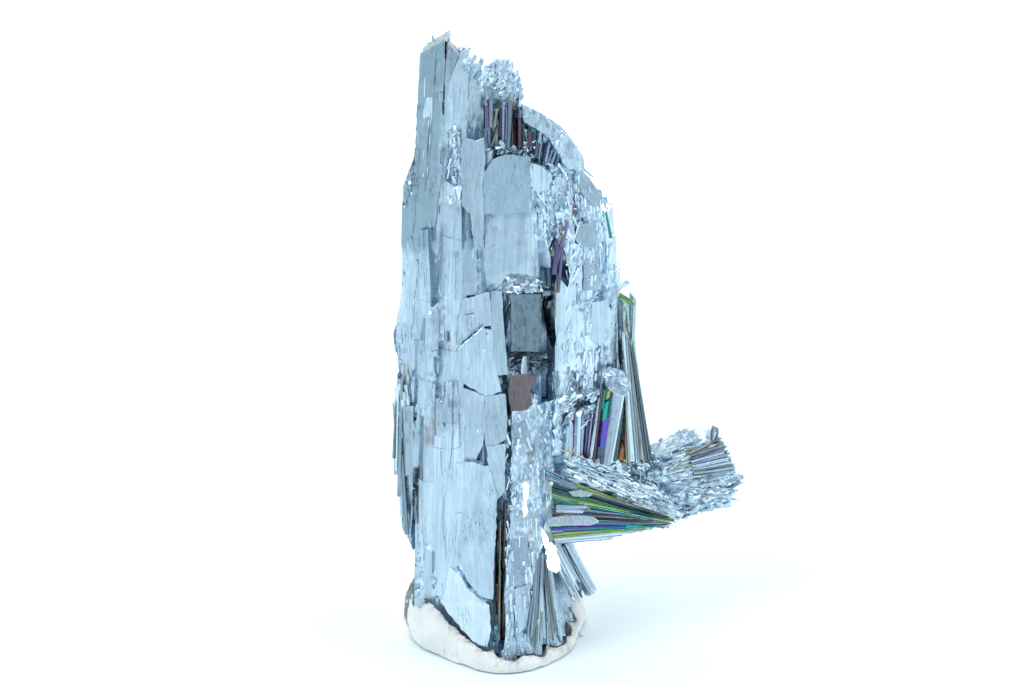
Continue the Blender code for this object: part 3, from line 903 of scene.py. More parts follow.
        wiring.fill(result, {"Color": colour, "Roughness": rough, "Normal": bump.outputs[0]})
        return wiring.tree


@dataclass(frozen=True)
class CrystalFinish:
    """A stibnite finish: tone range, tarnish and relief."""

    dark: Colour = (0.37, 0.49, 0.59)
    pale: Colour = (0.66, 0.815, 0.935)
    film: float = 0.0
    phase: float = 0.0
    spread: float = 0.5
    tilt: float = 0.075
    pitch: float = 0.30
    relief: float = 0.45
    rough: float = 0.20

    def build(self, name: str, groups: ShaderGroups) -> bpy.types.Material:
        """Make the material.

        Args:
            name: the material's name.
            groups: the shared shader groups.

        Returns:
            The new material.
        """
        material = bpy.data.materials.new(name)
        material.use_nodes = True
        wiring = Wiring(material.node_tree)
        shader = material.node_tree.nodes["Principled BSDF"]
        face = wiring.call(
            groups.metal, Dark=(*self.dark, 1.0), Pale=(*self.pale, 1.0), Film=self.film,
            Phase=self.phase, Spread=self.spread, Tilt=self.tilt, Pitch=self.pitch,
            Relief=self.relief, Rough=self.rough)
        wiring.fill(shader, {
            "Base Color": face.outputs["Color"], "Roughness": face.outputs["Roughness"],
            "Normal": face.outputs["Normal"], "Metallic": 1.0})
        return material


@dataclass(frozen=True)
class PuttyFinish:
    """Matt kneaded putty, greyer in streaks near the crystals, with small dark pits."""

    name: str = "putty_matt"
    cream: Colour = (0.83, 0.84, 0.81)
    shade: Colour = (0.76, 0.77, 0.75)
    grey_tone: Colour = (0.20, 0.22, 0.24)

    def build(self) -> bpy.types.Material:
        """Make the material.

        Returns:
            The new material.
        """
        material = bpy.data.materials.new(self.name)
        material.use_nodes = True
        wiring = Wiring(material.node_tree)
        shader = material.node_tree.nodes["Principled BSDF"]
        place = wiring.scaled(wiring.add("ShaderNodeTexCoord").outputs["Object"], 1.0 / MM)
        knead = wiring.noise(place, 0.22, 4.0, 0.6)
        colour = wiring.blend(wiring.window(knead, 0.40, 0.62), self.cream, self.shade)
        # Greyer in streaks near the crystals.
        near_crystals = wiring.attribute("near_crystals", "Fac")
        streak = wiring.noise(wiring.vector("DIVIDE", place, (1.0, 1.0, 2.6)), 1.1, 5.0, 0.7)
        greyed = wiring.window(wiring.maths("ADD", wiring.maths(
            "MULTIPLY", near_crystals, 0.55), wiring.maths("MULTIPLY", streak, 0.7)), 0.60, 0.95)
        colour = wiring.blend(wiring.maths("MULTIPLY", greyed, 0.8), colour, self.grey_tone)
        pit = wiring.cells(wiring.scaled(place, 0.55)).outputs["Distance"]
        spot = wiring.maths("SUBTRACT", 1.0, wiring.window(pit, 0.03, 0.10))
        colour = wiring.blend(wiring.maths("MULTIPLY", spot, 0.6), colour, self.grey_tone)
        grit = wiring.noise(place, 2.4, 4.0, 0.6)
        bump = wiring.add("ShaderNodeBump", {
            "Strength": 0.5, "Distance": 0.25 * MM,
            "Height": wiring.maths("SUBTRACT", grit, wiring.maths("MULTIPLY", spot, 0.6))})
        wiring.fill(shader, {
            "Base Color": colour, "Normal": bump.outputs[0],
            "Roughness": wiring.maths("SUBTRACT", 0.86, wiring.maths("MULTIPLY", greyed, 0.2))})
        return material


# --------------------------------------------------------------- crystal skin
TINY = 1e-9                 # stands for the height of a level edge


@dataclass(frozen=True)
class Zone:
    """A patch of the surface seen from the front, by its outline's pixels."""

    outline: tuple[Pixel, ...]
    amount: float = 1.0
    soft: float = 3.0
    colour_and_shade_fill: Colour = (0.5, 0.5, 0.5)

    def share(self, spots: np.ndarray) -> np.ndarray:
        """How far inside the outline each spot is, from 0 to 1.

        Args:
            spots: pixel places, one row each.

        Returns:
            One share a spot, times the zone's amount.
        """
        inside = np.zeros(len(spots), dtype=bool)
        nearest = np.full(len(spots), np.inf)
        for start, end in zip(self.outline, self.outline[1:] + self.outline[:1]):
            first, last = np.array(start), np.array(end)
            edge = last - first
            crosses = (first[1] > spots[:, 1]) != (last[1] > spots[:, 1])
            slope = edge[0] / (edge[1] if abs(edge[1]) > TINY else TINY)
            inside ^= crosses & (spots[:, 0] < first[0] + (spots[:, 1] - first[1]) * slope)
            along = np.clip((spots - first) @ edge / (edge @ edge), 0.0, 1.0)
            gap = np.linalg.norm(spots - first - along[:, None] * edge, axis=1)
            nearest = np.minimum(nearest, gap)
        signed = np.where(inside, nearest, -nearest)
        return np.clip(0.5 + signed / (2.0 * self.soft), 0.0, 1.0) * self.amount


def box_zone(left: float, top: float, right: float, bottom: float,
             **facts: Any) -> Zone:
    """Make a zone from the sides of an upright box of pixels."""
    return Zone(((left, top), (right, top), (right, bottom), (left, bottom)), **facts)


# Where the surface is torn and hackly instead of cleaved smooth.
BROKEN = (
    Zone(((457, 38), (471, 52), (490, 73), (500, 58), (518, 72), (522, 104),
          (500, 96), (480, 92), (466, 70)), 0.8, 4),
    box_zone(447, 128, 461, 202, amount=0.75, soft=4),
    Zone(((498, 141), (536, 140), (540, 158), (500, 159)), 1.0, 3),
    Zone(((529, 108), (584, 150), (596, 184), (611, 214), (608, 262), (575, 262),
          (540, 240), (531, 190)), 0.60, 6),
    Zone(((502, 276), (546, 280), (556, 298), (506, 302)), 0.9, 3),
    Zone(((430, 300), (470, 310), (505, 290), (505, 340), (450, 345)), 0.35, 8),
    box_zone(470, 325, 488, 360, amount=0.7, soft=3),
    Zone(((505, 353), (545, 353), (545, 372), (505, 372)), 0.9, 3),
    Zone(((560, 262), (624, 262), (604, 392), (562, 392)), 0.30, 6),
    Zone(((560, 372), (600, 372), (592, 432), (556, 440)), 1.0, 4),
    Zone(((468, 385), (505, 380), (510, 440), (470, 450)), 0.6, 5),
    Zone(((500, 412), (560, 395), (562, 520), (500, 510)), 0.55, 5),
    Zone(((508, 480), (532, 480), (530, 516), (506, 516)), 0.8, 4),
    Zone(((565, 450), (640, 468), (682, 508), (668, 520), (600, 490), (560, 478)),
         1.0, 3),
    Zone(((505, 510), (545, 510), (560, 640), (500, 650)), 0.22, 6),
    Zone(((695, 470), (750, 468), (748, 500), (700, 515), (672, 522)), 0.9, 4),
    Zone(((630, 452), (668, 452), (672, 496), (640, 486)), 0.8, 4),
    Zone(((448, 565), (470, 590), (492, 606), (492, 640), (452, 600)), 0.5, 3),
    Zone(((390, 250), (405, 250), (405, 330), (390, 330)), 0.6, 6),
    Zone(((396, 530), (420, 530), (424, 592), (414, 600)), 0.6, 4))

# Where a cleaved plate stays smooth among the broken faces.
SMOOTH = (
    Zone(((468, 392), (507, 390), (509, 446), (470, 444)), 0.9, 4),
    Zone(((577, 226), (590, 222), (599, 232), (596, 247), (583, 250), (575, 240)), 0.9, 2),
    Zone(((583, 265), (597, 262), (603, 276), (598, 291), (583, 292)), 0.9, 2),
    Zone(((591, 303), (605, 299), (614, 312), (610, 337), (600, 348), (590, 340)), 0.9, 2),
    Zone(((556, 262), (568, 257), (581, 268), (580, 320), (572, 338), (556, 332)), 0.8, 2),
    Zone(((532, 114), (548, 120), (574, 142), (583, 160), (570, 167), (552, 146),
          (536, 134)), 0.8, 3),
    Zone(((500, 215), (526, 216), (534, 262), (520, 274), (500, 284)), 0.8, 3))

# Where the metal is paler than elsewhere.
LIGHTER = (
    Zone(((419, 430), (497, 430), (497, 494), (493, 602), (480, 650), (421, 592)), 0.2, 6),
    Zone(((655, 442), (690, 426), (714, 420), (714, 450), (690, 456), (660, 462)), 0.9, 4),
    Zone(((548, 462), (600, 462), (664, 488), (680, 510), (672, 522), (560, 482)), 0.7, 5),
    Zone(((560, 200), (606, 200), (622, 262), (604, 390), (560, 392)), 0.8, 6),
    Zone(((505, 400), (560, 400), (560, 470), (545, 560), (540, 650), (505, 650)), 0.8, 5),
    Zone(((530, 165), (590, 165), (606, 200), (560, 262), (530, 250)), 0.9, 5),
    Zone(((566, 454), (640, 468), (748, 468), (748, 500), (676, 520), (566, 478)), 0.3, 3))

# Where a cleavage face runs on without steps.
CALM = (
    Zone(((420, 440), (494, 446), (497, 494), (493, 602), (470, 600), (424, 590)), 0.9, 5),
    Zone(((433, 404), (460, 404), (460, 448), (433, 448)), 0.9, 2),
    Zone(((455, 215), (500, 216), (502, 276), (470, 310), (456, 300)), 0.7, 4),
    Zone(((452, 84), (462, 52), (470, 70), (468, 127), (450, 127)), 0.7, 3),
    Zone(((406, 200), (430, 200), (426, 300), (398, 300)), 0.5, 4),
    Zone(((500, 215), (528, 216), (534, 262), (500, 284)), 0.7, 4))

# Where the tarnish shows its colours.
FILMED = (
    Zone(((545, 472), (600, 486), (671, 520), (545, 545)), 0.5, 2),
    Zone(((485, 97), (532, 108), (550, 128), (558, 160), (545, 165), (525, 140),
          (486, 128)), 0.12, 2),
    Zone(((556, 226), (568, 222), (564, 262), (556, 268)), 0.5, 2),
    Zone(((604, 404), (624, 404), (612, 463), (590, 463)), 0.4, 3),
    Zone(((621, 290), (636, 302), (652, 455), (622, 462)), 0.2, 2),
    Zone(((690, 434), (726, 434), (740, 470), (694, 476)), 0.2, 3),
    Zone(((495, 500), (502, 500), (501, 600), (494, 600)), 0.35, 2),
    Zone(((533, 555), (545, 560), (550, 630), (540, 635)), 0.3, 2))

# Local tints and painted shade: fill colour and how much of it covers the metal. The near-black
# fill beside the cavity plate paints the shade in its slot, and the dark strip below the arm
# paints the shadow under its needle fan.
COLOURED_AND_SHADED = (
    Zone(((420, 44), (447, 30), (448, 60), (444, 128), (438, 200), (432, 250), (392, 252),
          (408, 160)), 0.72, 4, (0.22, 0.32, 0.39)),
    Zone(((388, 388), (412, 394), (415, 470), (413, 540), (399, 534), (388, 470)), 0.5,
         3, (0.22, 0.30, 0.36)),
    Zone(((447, 34), (464, 48), (460, 52), (448, 84)), 0.6, 2, (0.16, 0.23, 0.29)),
    Zone(((482, 155), (530, 158), (530, 215), (482, 215)), 0.55, 3, (0.30, 0.44, 0.55)),
    Zone(((455, 215), (500, 215), (500, 300), (460, 300)), 0.30, 6, (0.40, 0.54, 0.64)),
    Zone(((426, 417), (434, 417), (434, 444), (426, 444)), 0.35, 2, (0.42, 0.20, 0.15)),
    Zone(((403, 363), (408, 363), (405, 430), (399, 430)), 0.45, 2, (0.34, 0.28, 0.18)),
    Zone(((472, 438), (486, 438), (484, 460), (478, 460)), 0.7, 2, (0.08, 0.09, 0.11)),
    Zone(((528, 442), (537, 446), (532, 468), (527, 466)), 0.6, 1.5, (0.30, 0.18, 0.18)),
    Zone(((446, 331), (449, 331), (449, 342), (446, 342)), 0.9, 0.8, (0.01, 0.01, 0.02)),
    Zone(((564, 430), (571, 430), (570, 452), (564, 452)), 0.7, 2, (0.10, 0.30, 0.40)),
    # Painted shade: the near-black slot beside the cavity plate.
    Zone(((541, 299), (553.5, 291), (552.4, 321), (549.4, 340), (545.3, 332),
          (541.7, 323)), 0.97, 1.2, (0.008, 0.010, 0.014)),
    Zone(((506, 354), (544, 354), (543, 371), (508, 371)), 0.55, 2, (0.14, 0.16, 0.18)),
    Zone(((413, 467), (419, 467), (418, 524), (413, 524)), 0.95, 1.0, (0.01, 0.01, 0.015)),
    Zone(((570, 376), (588, 374), (584, 394), (571, 401)), 0.6, 2, (0.06, 0.07, 0.09)),
    Zone(((554, 236), (560, 232), (558, 290), (553, 296)), 0.8, 1.5, (0.03, 0.03, 0.05)),
    Zone(((573, 197), (577, 197), (577, 217), (573, 217)), 0.9, 0.8, (0.02, 0.02, 0.03)),
    # Painted shadow: the dark strip under the arm's needle fan.
    Zone(((556, 500), (604, 500), (640, 516), (600, 516), (556, 514)), 0.5, 2,
         (0.10, 0.12, 0.14)),
    Zone(((613, 340), (622, 340), (622, 368), (613, 368)), 0.8, 2, (0.05, 0.06, 0.07)),
    Zone(((528, 520), (537, 520), (536, 560), (529, 560)), 0.35, 2, (0.62, 0.52, 0.42)))


@dataclass
class Skin:
    """The cluster's own surface, meshed finely and cleaved into steps."""

    name: str = "crystal_faces"
    octree_depth: int = 8
    fill: float = 0.91          # the model's share of the remesh grid
    long_step: float = 0.17
    broken_step: float = 0.52
    groove: float = 0.07
    step_seed: float = 3.0
    sharp_angle: float = 24.0
    facing: tuple[float, float] = (0.02, 0.15)   # where zones start to show, and over what
    behind: float = 0.35        # how broken the patches on the back are
    aside: float = 0.25         # less turned to the front or back than this has no flakes
    flank: float = 0.35         # steeper to the grain than this is no flank
    foot_gap: float = 1.5       # no chips below this height
    obj: bpy.types.Object = field(init=False)
    tree: BVHTree = field(init=False)

    def build(self, eye: Eye, cleaver: Cleaver, finish: bpy.types.Material) -> None:
        """Copy, remesh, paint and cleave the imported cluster.

        Args:
            eye: the view, for zones given in pixels.
            cleaver: the geometry groups.
            finish: the crystal material.
        """
        self.obj = copy_node("stibnite_cluster", self.name)
        remesh = self.obj.modifiers.new("fine", "REMESH")
        remesh.mode = "SHARP"
        remesh.octree_depth = self.octree_depth
        remesh.scale = self.fill
        remesh.use_remove_disconnected = False
        apply_modifiers(self.obj)
        self.tree = BVHTree.FromObject(
            self.obj, bpy.context.evaluated_depsgraph_get())
        self.paint_zones(eye)
        add_nodes(self.obj, cleaver.steps, Long_Step=self.long_step * MM,
                  Broken_Step=self.broken_step * MM, Groove=self.groove * MM,
                  Seed=self.step_seed)
        take(self.obj)
        bpy.ops.object.shade_smooth_by_angle(angle=math.radians(self.sharp_angle))
        self.obj.data.materials.append(finish)

    def paint_zones(self, eye: Eye) -> None:
        """Store the grain, the broken share, and the tints and painted shade at each point.

        Args:
            eye: the view, for zones given in pixels.
        """
        mesh = self.obj.data
        points = mesh_points(mesh)
        normals = np.empty(len(points) * 3, dtype=np.float32)
        mesh.vertex_normals.foreach_get("vector", normals)
        normals = normals.reshape(-1, 3)
        spots = eye.pixels(points)
        toward = normals @ -np.array(eye.forward)
        start, run = self.facing
        front = np.clip((toward - start) / run, 0.0, 1.0)
        grain, along = grain_of(points)
        patches = np.sin(points[:, 0] * 0.55 + 1.3) * np.sin(points[:, 2] * 0.21) > 0.25
        behind = self.behind * np.clip(-toward, 0.0, 1.0) * patches
        whole = 1.0 - strongest(SMOOTH, spots) * front
        broken = np.maximum(behind, strongest(BROKEN, spots) * front * whole)
        colour_and_shade_fill = np.zeros((len(points), 4))
        for zone in COLOURED_AND_SHADED:
            share = zone.share(spots) * front
            stronger = share > colour_and_shade_fill[:, 3]
            colour_and_shade_fill[stronger, :3] = zone.colour_and_shade_fill
            colour_and_shade_fill[:, 3] = np.maximum(colour_and_shade_fill[:, 3], share)
        paint(mesh, "grain", "FLOAT_VECTOR", grain)
        paint(mesh, "along", "FLOAT_VECTOR", along)
        paint(mesh, "broken", "FLOAT", broken)
        calm = strongest(CALM, spots) * front
        paint(mesh, "calm", "FLOAT", calm)
        flank = np.abs((normals * along).sum(axis=1)) < self.flank
        aside = np.abs(toward) > self.aside
        paint(mesh, "plain", "FLOAT", np.clip(
            1.0 - 1.6 * broken - 0.8 * calm, 0.0, 1.0) * flank * aside)
        paint(mesh, "torn", "FLOAT", broken * (points[:, 2] > self.foot_gap) * aside)
        paint(mesh, "film", "FLOAT", strongest(FILMED, spots) * front)
        paint(mesh, "hue", "FLOAT", strongest(LIGHTER, spots) * front)
        paint(mesh, "colour_and_shade", "FLOAT_COLOR", colour_and_shade_fill)


def strongest(zones: Sequence[Zone], spots: np.ndarray) -> np.ndarray:
    """Take the largest share of several zones at each spot.

    Args:
        zones: the zones.
        spots: one pixel a row.

    Returns:
        One share a row, from 0 to 1.
    """
    best = np.zeros(len(spots))
    for zone in zones:
        best = np.maximum(best, zone.share(spots))
    return best


SPRAY_START = 8.6           # X where the side spray leaves the body
SPRAY_LOW = 14.5            # Z of its lowest and its highest part
SPRAY_HIGH = 34.0
FAN_START = 27.0            # X where it spreads into a fan
FOOT_START = 3.0            # X where the foot crystals leave the body
BODY_GRAIN = (0.05, 0.10, 1.0)
ARM_GRAIN = (0.93, 0.18, -0.32)
FAN_GRAIN = (0.93, 0.10, 0.32)
FOOT_GRAIN = (-0.46, -0.38, 0.80)
SIDE_SHIFT = 31.0           # these keep the parts' patterns apart
FOOT_SHIFT = 57.0


def grain_of(points: np.ndarray) -> tuple[np.ndarray, np.ndarray]:
    """Work out grain coordinates and the grain's direction.

    Args:
        points: places in millimetres, one row each.

    Returns:
        Coordinates whose third runs along the crystals, and that direction.
    """
    side = ((points[:, 0] > SPRAY_START) & (points[:, 2] > SPRAY_LOW)
            & (points[:, 2] < SPRAY_HIGH))
    fan = side & (points[:, 0] > FAN_START)
    foot = (points[:, 0] > FOOT_START) & (points[:, 2] < SPRAY_LOW)
    along = np.tile(np.array(BODY_GRAIN), (len(points), 1))
    along[side] = ARM_GRAIN
    along[fan] = FAN_GRAIN
    along[foot] = FOOT_GRAIN
    along /= np.linalg.norm(along, axis=1)[:, None]
    sideways = np.cross(along, np.array((0.0, 1.0, 0.0)))
    sideways /= np.linalg.norm(sideways, axis=1)[:, None]
    upward = np.cross(along, sideways)
    grain = np.stack([(points * axis).sum(axis=1) for axis in (sideways, upward, along)],
                     axis=1)
    grain += side[:, None] * SIDE_SHIFT + foot[:, None] * FOOT_SHIFT
    return grain, along


# ---------------------------------------------------------------------- putty
@dataclass
class Putty:
    """The kneaded lump of putty under the crystals."""

    name: str = "putty_lump"
    cell: float = 0.42
    smooth: float = 0.5
    rounds: int = 4             # times that it is smoothed
    lump: float = 4.5           # size of the kneading marks, and their depth below
    knead: float = 0.5
    grey_reach: float = 3.2     # how far from the crystals it turns greyer
    lobe_from: float = -6.5     # X where the lobe on its left starts
    lobe_back: float = 0.5      # Y where it ends
    lobe_foot: float = 2.0      # height over which it grows out of the floor
    lobe_run: float = 6.0
    lobe_out: float = 1.3
    lobe_up: float = 1.7
    obj: bpy.types.Object = field(init=False)

    def build(self, skin: Skin, finish: bpy.types.Material) -> None:
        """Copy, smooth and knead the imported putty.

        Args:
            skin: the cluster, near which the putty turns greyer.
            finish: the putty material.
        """
        self.obj = copy_node("putty_base", self.name)
        remesh = self.obj.modifiers.new("fine", "REMESH")
        remesh.mode = "VOXEL"
        remesh.voxel_size = self.cell * MM
        apply_modifiers(self.obj)
        smooth = self.obj.modifiers.new("smooth", "SMOOTH")
        smooth.factor = self.smooth
        smooth.iterations = self.rounds
        texture = bpy.data.textures.new("kneading", "CLOUDS")
        texture.noise_scale = self.lump * MM
        texture.noise_depth = 3
        lumps = self.obj.modifiers.new("lumps", "DISPLACE")
        lumps.texture = texture
        lumps.strength = self.knead * MM
        lumps.mid_level = 1.0
        apply_modifiers(self.obj)
        mesh = self.obj.data
        points = mesh_points(mesh)
        lobe = np.clip((self.lobe_from - points[:, 0]) / self.lobe_run, 0.0, 1.0)
        lobe = lobe * lobe * (3.0 - 2.0 * lobe)
        lobe *= np.clip(points[:, 2] / self.lobe_foot, 0.0, 1.0)
        lobe *= np.clip((self.lobe_back - points[:, 1]) / self.lobe_run, 0.0, 1.0)
        points[:, 0] -= self.lobe_out * lobe
        points[:, 2] += self.lobe_up * lobe
        points[:, 2] = np.maximum(points[:, 2], 0.0)
        move_points(mesh, points)
        # Nearness to the crystals, which greys the putty.
        near_crystals = np.zeros(len(points))
        for index, point in enumerate(points):
            _, _, _, gap = skin.tree.find_nearest(Vector(point) * MM)
            near_crystals[index] = max(0.0, 1.0 - gap / MM / self.grey_reach)
        paint(mesh, "near_crystals", "FLOAT", near_crystals)
        take(self.obj)
        bpy.ops.object.shade_smooth()
        mesh.materials.append(finish)


# ------------------------------------------------------------ separate blades
class Look(Enum):
    """The finishes a blade can take."""

    STEEL = "stibnite_steel"
    BRIGHT = "stibnite_bright"
    DARK = "stibnite_dark"
    RAINBOW = "stibnite_rainbow"
    GREEN = "stibnite_green"
    VIOLET = "stibnite_violet"
    BRONZE = "stibnite_bronze"
    MAUVE = "stibnite_mauve"
    SHADED = "stibnite_shaded"
    MIRROR = "stibnite_mirror"
    EMBER = "stibnite_ember"
    BLUE = "stibnite_blue"
    CRUST = "stibnite_crust"
    NEEDLE = "stibnite_needle"
    OLIVE = "stibnite_olive"
    SLATE = "stibnite_slate"
    LILAC = "stibnite_lilac"
    HOLLOW = "stibnite_hollow"
    TEAL = "stibnite_teal"
    GOLD = "stibnite_gold"


FINISHES = {
    Look.STEEL: CrystalFinish(),
    # A paler copy of the steel, which paints glints and lit faces.
    Look.BRIGHT: CrystalFinish(
        dark=(0.50, 0.63, 0.73), pale=(0.80, 0.91, 0.98), tilt=0.14, rough=0.15),
    Look.NEEDLE: CrystalFinish(
        dark=(0.03, 0.05, 0.04), pale=(0.28, 0.36, 0.30), film=0.78, phase=0.73, spread=0.38,
        tilt=0.16, pitch=0.16, relief=0.5, rough=0.18),
    Look.OLIVE: CrystalFinish(
        dark=(0.17, 0.20, 0.18), pale=(0.44, 0.47, 0.42), film=0.22, phase=0.02, spread=0.3,
        tilt=0.14, pitch=0.2, relief=0.6, rough=0.24),
    Look.SLATE: CrystalFinish(
        dark=(0.41, 0.56, 0.67), pale=(0.49, 0.66, 0.77), tilt=0.02, relief=0.14, rough=0.16),
    Look.TEAL: CrystalFinish(
        dark=(0.03, 0.20, 0.20), pale=(0.14, 0.50, 0.48), film=0.85, phase=0.585, spread=0.14,
        tilt=0.12, pitch=0.2, rough=0.16),
    Look.GOLD: CrystalFinish(
        dark=(0.20, 0.22, 0.06), pale=(0.52, 0.52, 0.22), film=0.80, phase=0.79, spread=0.16,
        tilt=0.12, pitch=0.2, rough=0.16),
    # A darker copy of the steel; on the cavity plate it paints the shade inside the cavity.
    Look.HOLLOW: CrystalFinish(
        dark=(0.06, 0.09, 0.11), pale=(0.20, 0.27, 0.33), tilt=0.2, pitch=0.2, relief=0.8,
        rough=0.3),
    Look.LILAC: CrystalFinish(
        dark=(0.24, 0.30, 0.38), pale=(0.50, 0.60, 0.71), tilt=0.08, pitch=0.2, relief=0.5,
        rough=0.2),
    Look.DARK: CrystalFinish(
        dark=(0.03, 0.04, 0.05), pale=(0.16, 0.19, 0.23), film=0.3, phase=0.38, spread=0.4,
        tilt=0.2),
    Look.RAINBOW: CrystalFinish(
        dark=(0.04, 0.06, 0.06), pale=(0.34, 0.42, 0.40), film=0.75, phase=0.72, spread=0.5,
        tilt=0.22, pitch=0.16, relief=0.6, rough=0.15),
    Look.GREEN: CrystalFinish(
        dark=(0.03, 0.09, 0.08), pale=(0.20, 0.40, 0.36), film=0.78, phase=0.68, spread=0.22,
        tilt=0.14, pitch=0.22, rough=0.15),
    Look.VIOLET: CrystalFinish(
        dark=(0.16, 0.16, 0.24), pale=(0.48, 0.52, 0.66), film=0.30, phase=0.39, spread=0.16,
        tilt=0.16, pitch=0.22, rough=0.18),
    Look.BRONZE: CrystalFinish(
        dark=(0.10, 0.11, 0.10), pale=(0.38, 0.40, 0.36), film=0.40, phase=0.04, spread=0.35,
        tilt=0.18, pitch=0.2, relief=0.6, rough=0.22),
    Look.MAUVE: CrystalFinish(
        dark=(0.17, 0.14, 0.15), pale=(0.34, 0.28, 0.30), tilt=0.03, pitch=0.5, relief=0.25,
        rough=0.3),
    Look.SHADED: CrystalFinish(
        dark=(0.15, 0.21, 0.25), pale=(0.34, 0.43, 0.50), tilt=0.08, rough=0.26),
    Look.EMBER: CrystalFinish(
        dark=(0.20, 0.12, 0.04), pale=(0.52, 0.34, 0.12), film=0.95, phase=0.17, spread=0.2,
        tilt=0.12, rough=0.18),
    Look.BLUE: CrystalFinish(
        dark=(0.03, 0.10, 0.30), pale=(0.12, 0.36, 0.60), film=0.95, phase=0.50, spread=0.2,
        tilt=0.12, rough=0.18),
    Look.CRUST: CrystalFinish(
        dark=(0.42, 0.40, 0.30), pale=(0.78, 0.76, 0.62), tilt=0.3, relief=0.7, rough=0.55),
    Look.MIRROR: CrystalFinish(
        dark=(0.90, 0.95, 0.98), pale=(1.0, 1.0, 1.0), tilt=0.16, relief=0.3, rough=0.12)}


BLADE_SEED = 5
# The pattern prisms: sides, how far in every other edge is drawn, and the cuts' normals.
PATTERNS = (
    (12, 0.90, (0.0, 0.55, 1.0), (0.3, -0.4, 1.0)),
    (10, 0.84, (0.7, 0.2, 1.0), (0.5, 0.6, 1.2)),
    (14, 0.88, (0.1, 0.3, 1.0), (-0.2, 0.2, 1.0)),
    (8, 0.92, (-0.9, 0.3, 1.0), (0.2, 0.7, 1.0)))
CUT_FIRST = 0.97            # height of a pattern's first cut, and each one's drop
CUT_STEP = 0.05
BLADE_STEPS = 6             # parts of a blade, at whose ends it may touch the skin
END_RUN = 2.2               # length of a blade's slanted end, in widths
END_LIMIT = 0.3             # and no nearer the foot than this share of the length
BLADE_ANGLE = 20.0          # flatter edges than this are shaded smooth
BEVEL = 0.08
EDGE_PITCH = 4.0            # pixels between a ragged outline's corners
EDGE_STRAY = 0.55           # pixels that a corner may lie aside
EDGE_SLIDE = 0.2            # and how far along, as a share of the pitch
SLOPE_REACH = 1.6           # millimetres either side of a plate's usual depth
SLOPE_SHARES = (0.25, 0.6, 0.92)        # where a plate samples the skin, out to its rim
LEAN_RANGE = (-0.4, 0.4)    # how far a plate's normal may turn aside, and up
RISE_RANGE = (-0.3, 0.4)
GRAIN_STRAY = 90            # each blade has its own part of the grain's pattern
PLATE_GRAIN = 11.0
PLATE_HUES = (0.0, 0.25)


@dataclass(frozen=True)
class Blade:
    """One striated prism from a foot to a tip."""

    foot: Spot
    tip: Spot
    width: float
    thick: float
    look: Look = Look.STEEL
    taper: float = 0.8
    roll: float = 0.0
    broken: float = 0.0
    proud: float | None = 0.15


@dataclass(frozen=True)
class Plate:
    """One flat cleavage plate.

    It lies along the skin where normal is None, and stays at its own depth
    where proud, how far before the skin it lies, is None.
    """

    outline: tuple[Pixel, ...]
    depth: float = 0.0
    normal: Point | None = None
    thick: float = 0.9
    look: Look = Look.STEEL
    broken: float = 0.1
    proud: float | None = -0.05


@dataclass(frozen=True)
class Bundle:
    """A sheaf of blades whose feet and tips each lie along an edge."""

    feet: tuple[Spot, Spot]
    tips: tuple[Spot, Spot]
    count: int
    width: tuple[float, float]
    thick: tuple[float, float]
    looks: tuple[Look, ...] = (Look.STEEL,)
    taper: float = 0.7
    stray: float = 1.2
    cut: float = 0.12
    seed: int = 1
    proud: float | None = 0.1
    broken: float = 0.0
    roll: float = 35.0
    depth_stray: float = 0.22
    taper_range: tuple[float, float] = (0.85, 1.1)
    proud_range: tuple[float, float] = (-0.15, 0.3)

    def blades(self) -> list[Blade]:
        """Lay out the sheaf's blades.

        Returns:
            The blades, from one edge to the other.
        """
        dice = random.Random(self.seed)
        made = []
        gains = (1.0, 1.0, self.depth_stray)
        for index in range(self.count):
            place = (index + 0.5) / self.count
            ends = []
            for first, last in (self.feet, self.tips):
                ends.append([a + (b - a) * place + dice.uniform(-1, 1) * self.stray * gain
                             for a, b, gain in zip(first, last, gains)])
            short = dice.uniform(0.0, self.cut)
            tip = tuple(b + (a - b) * short for a, b in zip(*ends))
            made.append(Blade(
                tuple(ends[0]), tip, dice.uniform(*self.width), dice.uniform(*self.thick),
                dice.choice(self.looks), self.taper * dice.uniform(*self.taper_range),
                dice.uniform(-self.roll, self.roll), self.broken,
                None if self.proud is None else self.proud + dice.uniform(*self.proud_range)))
        return made


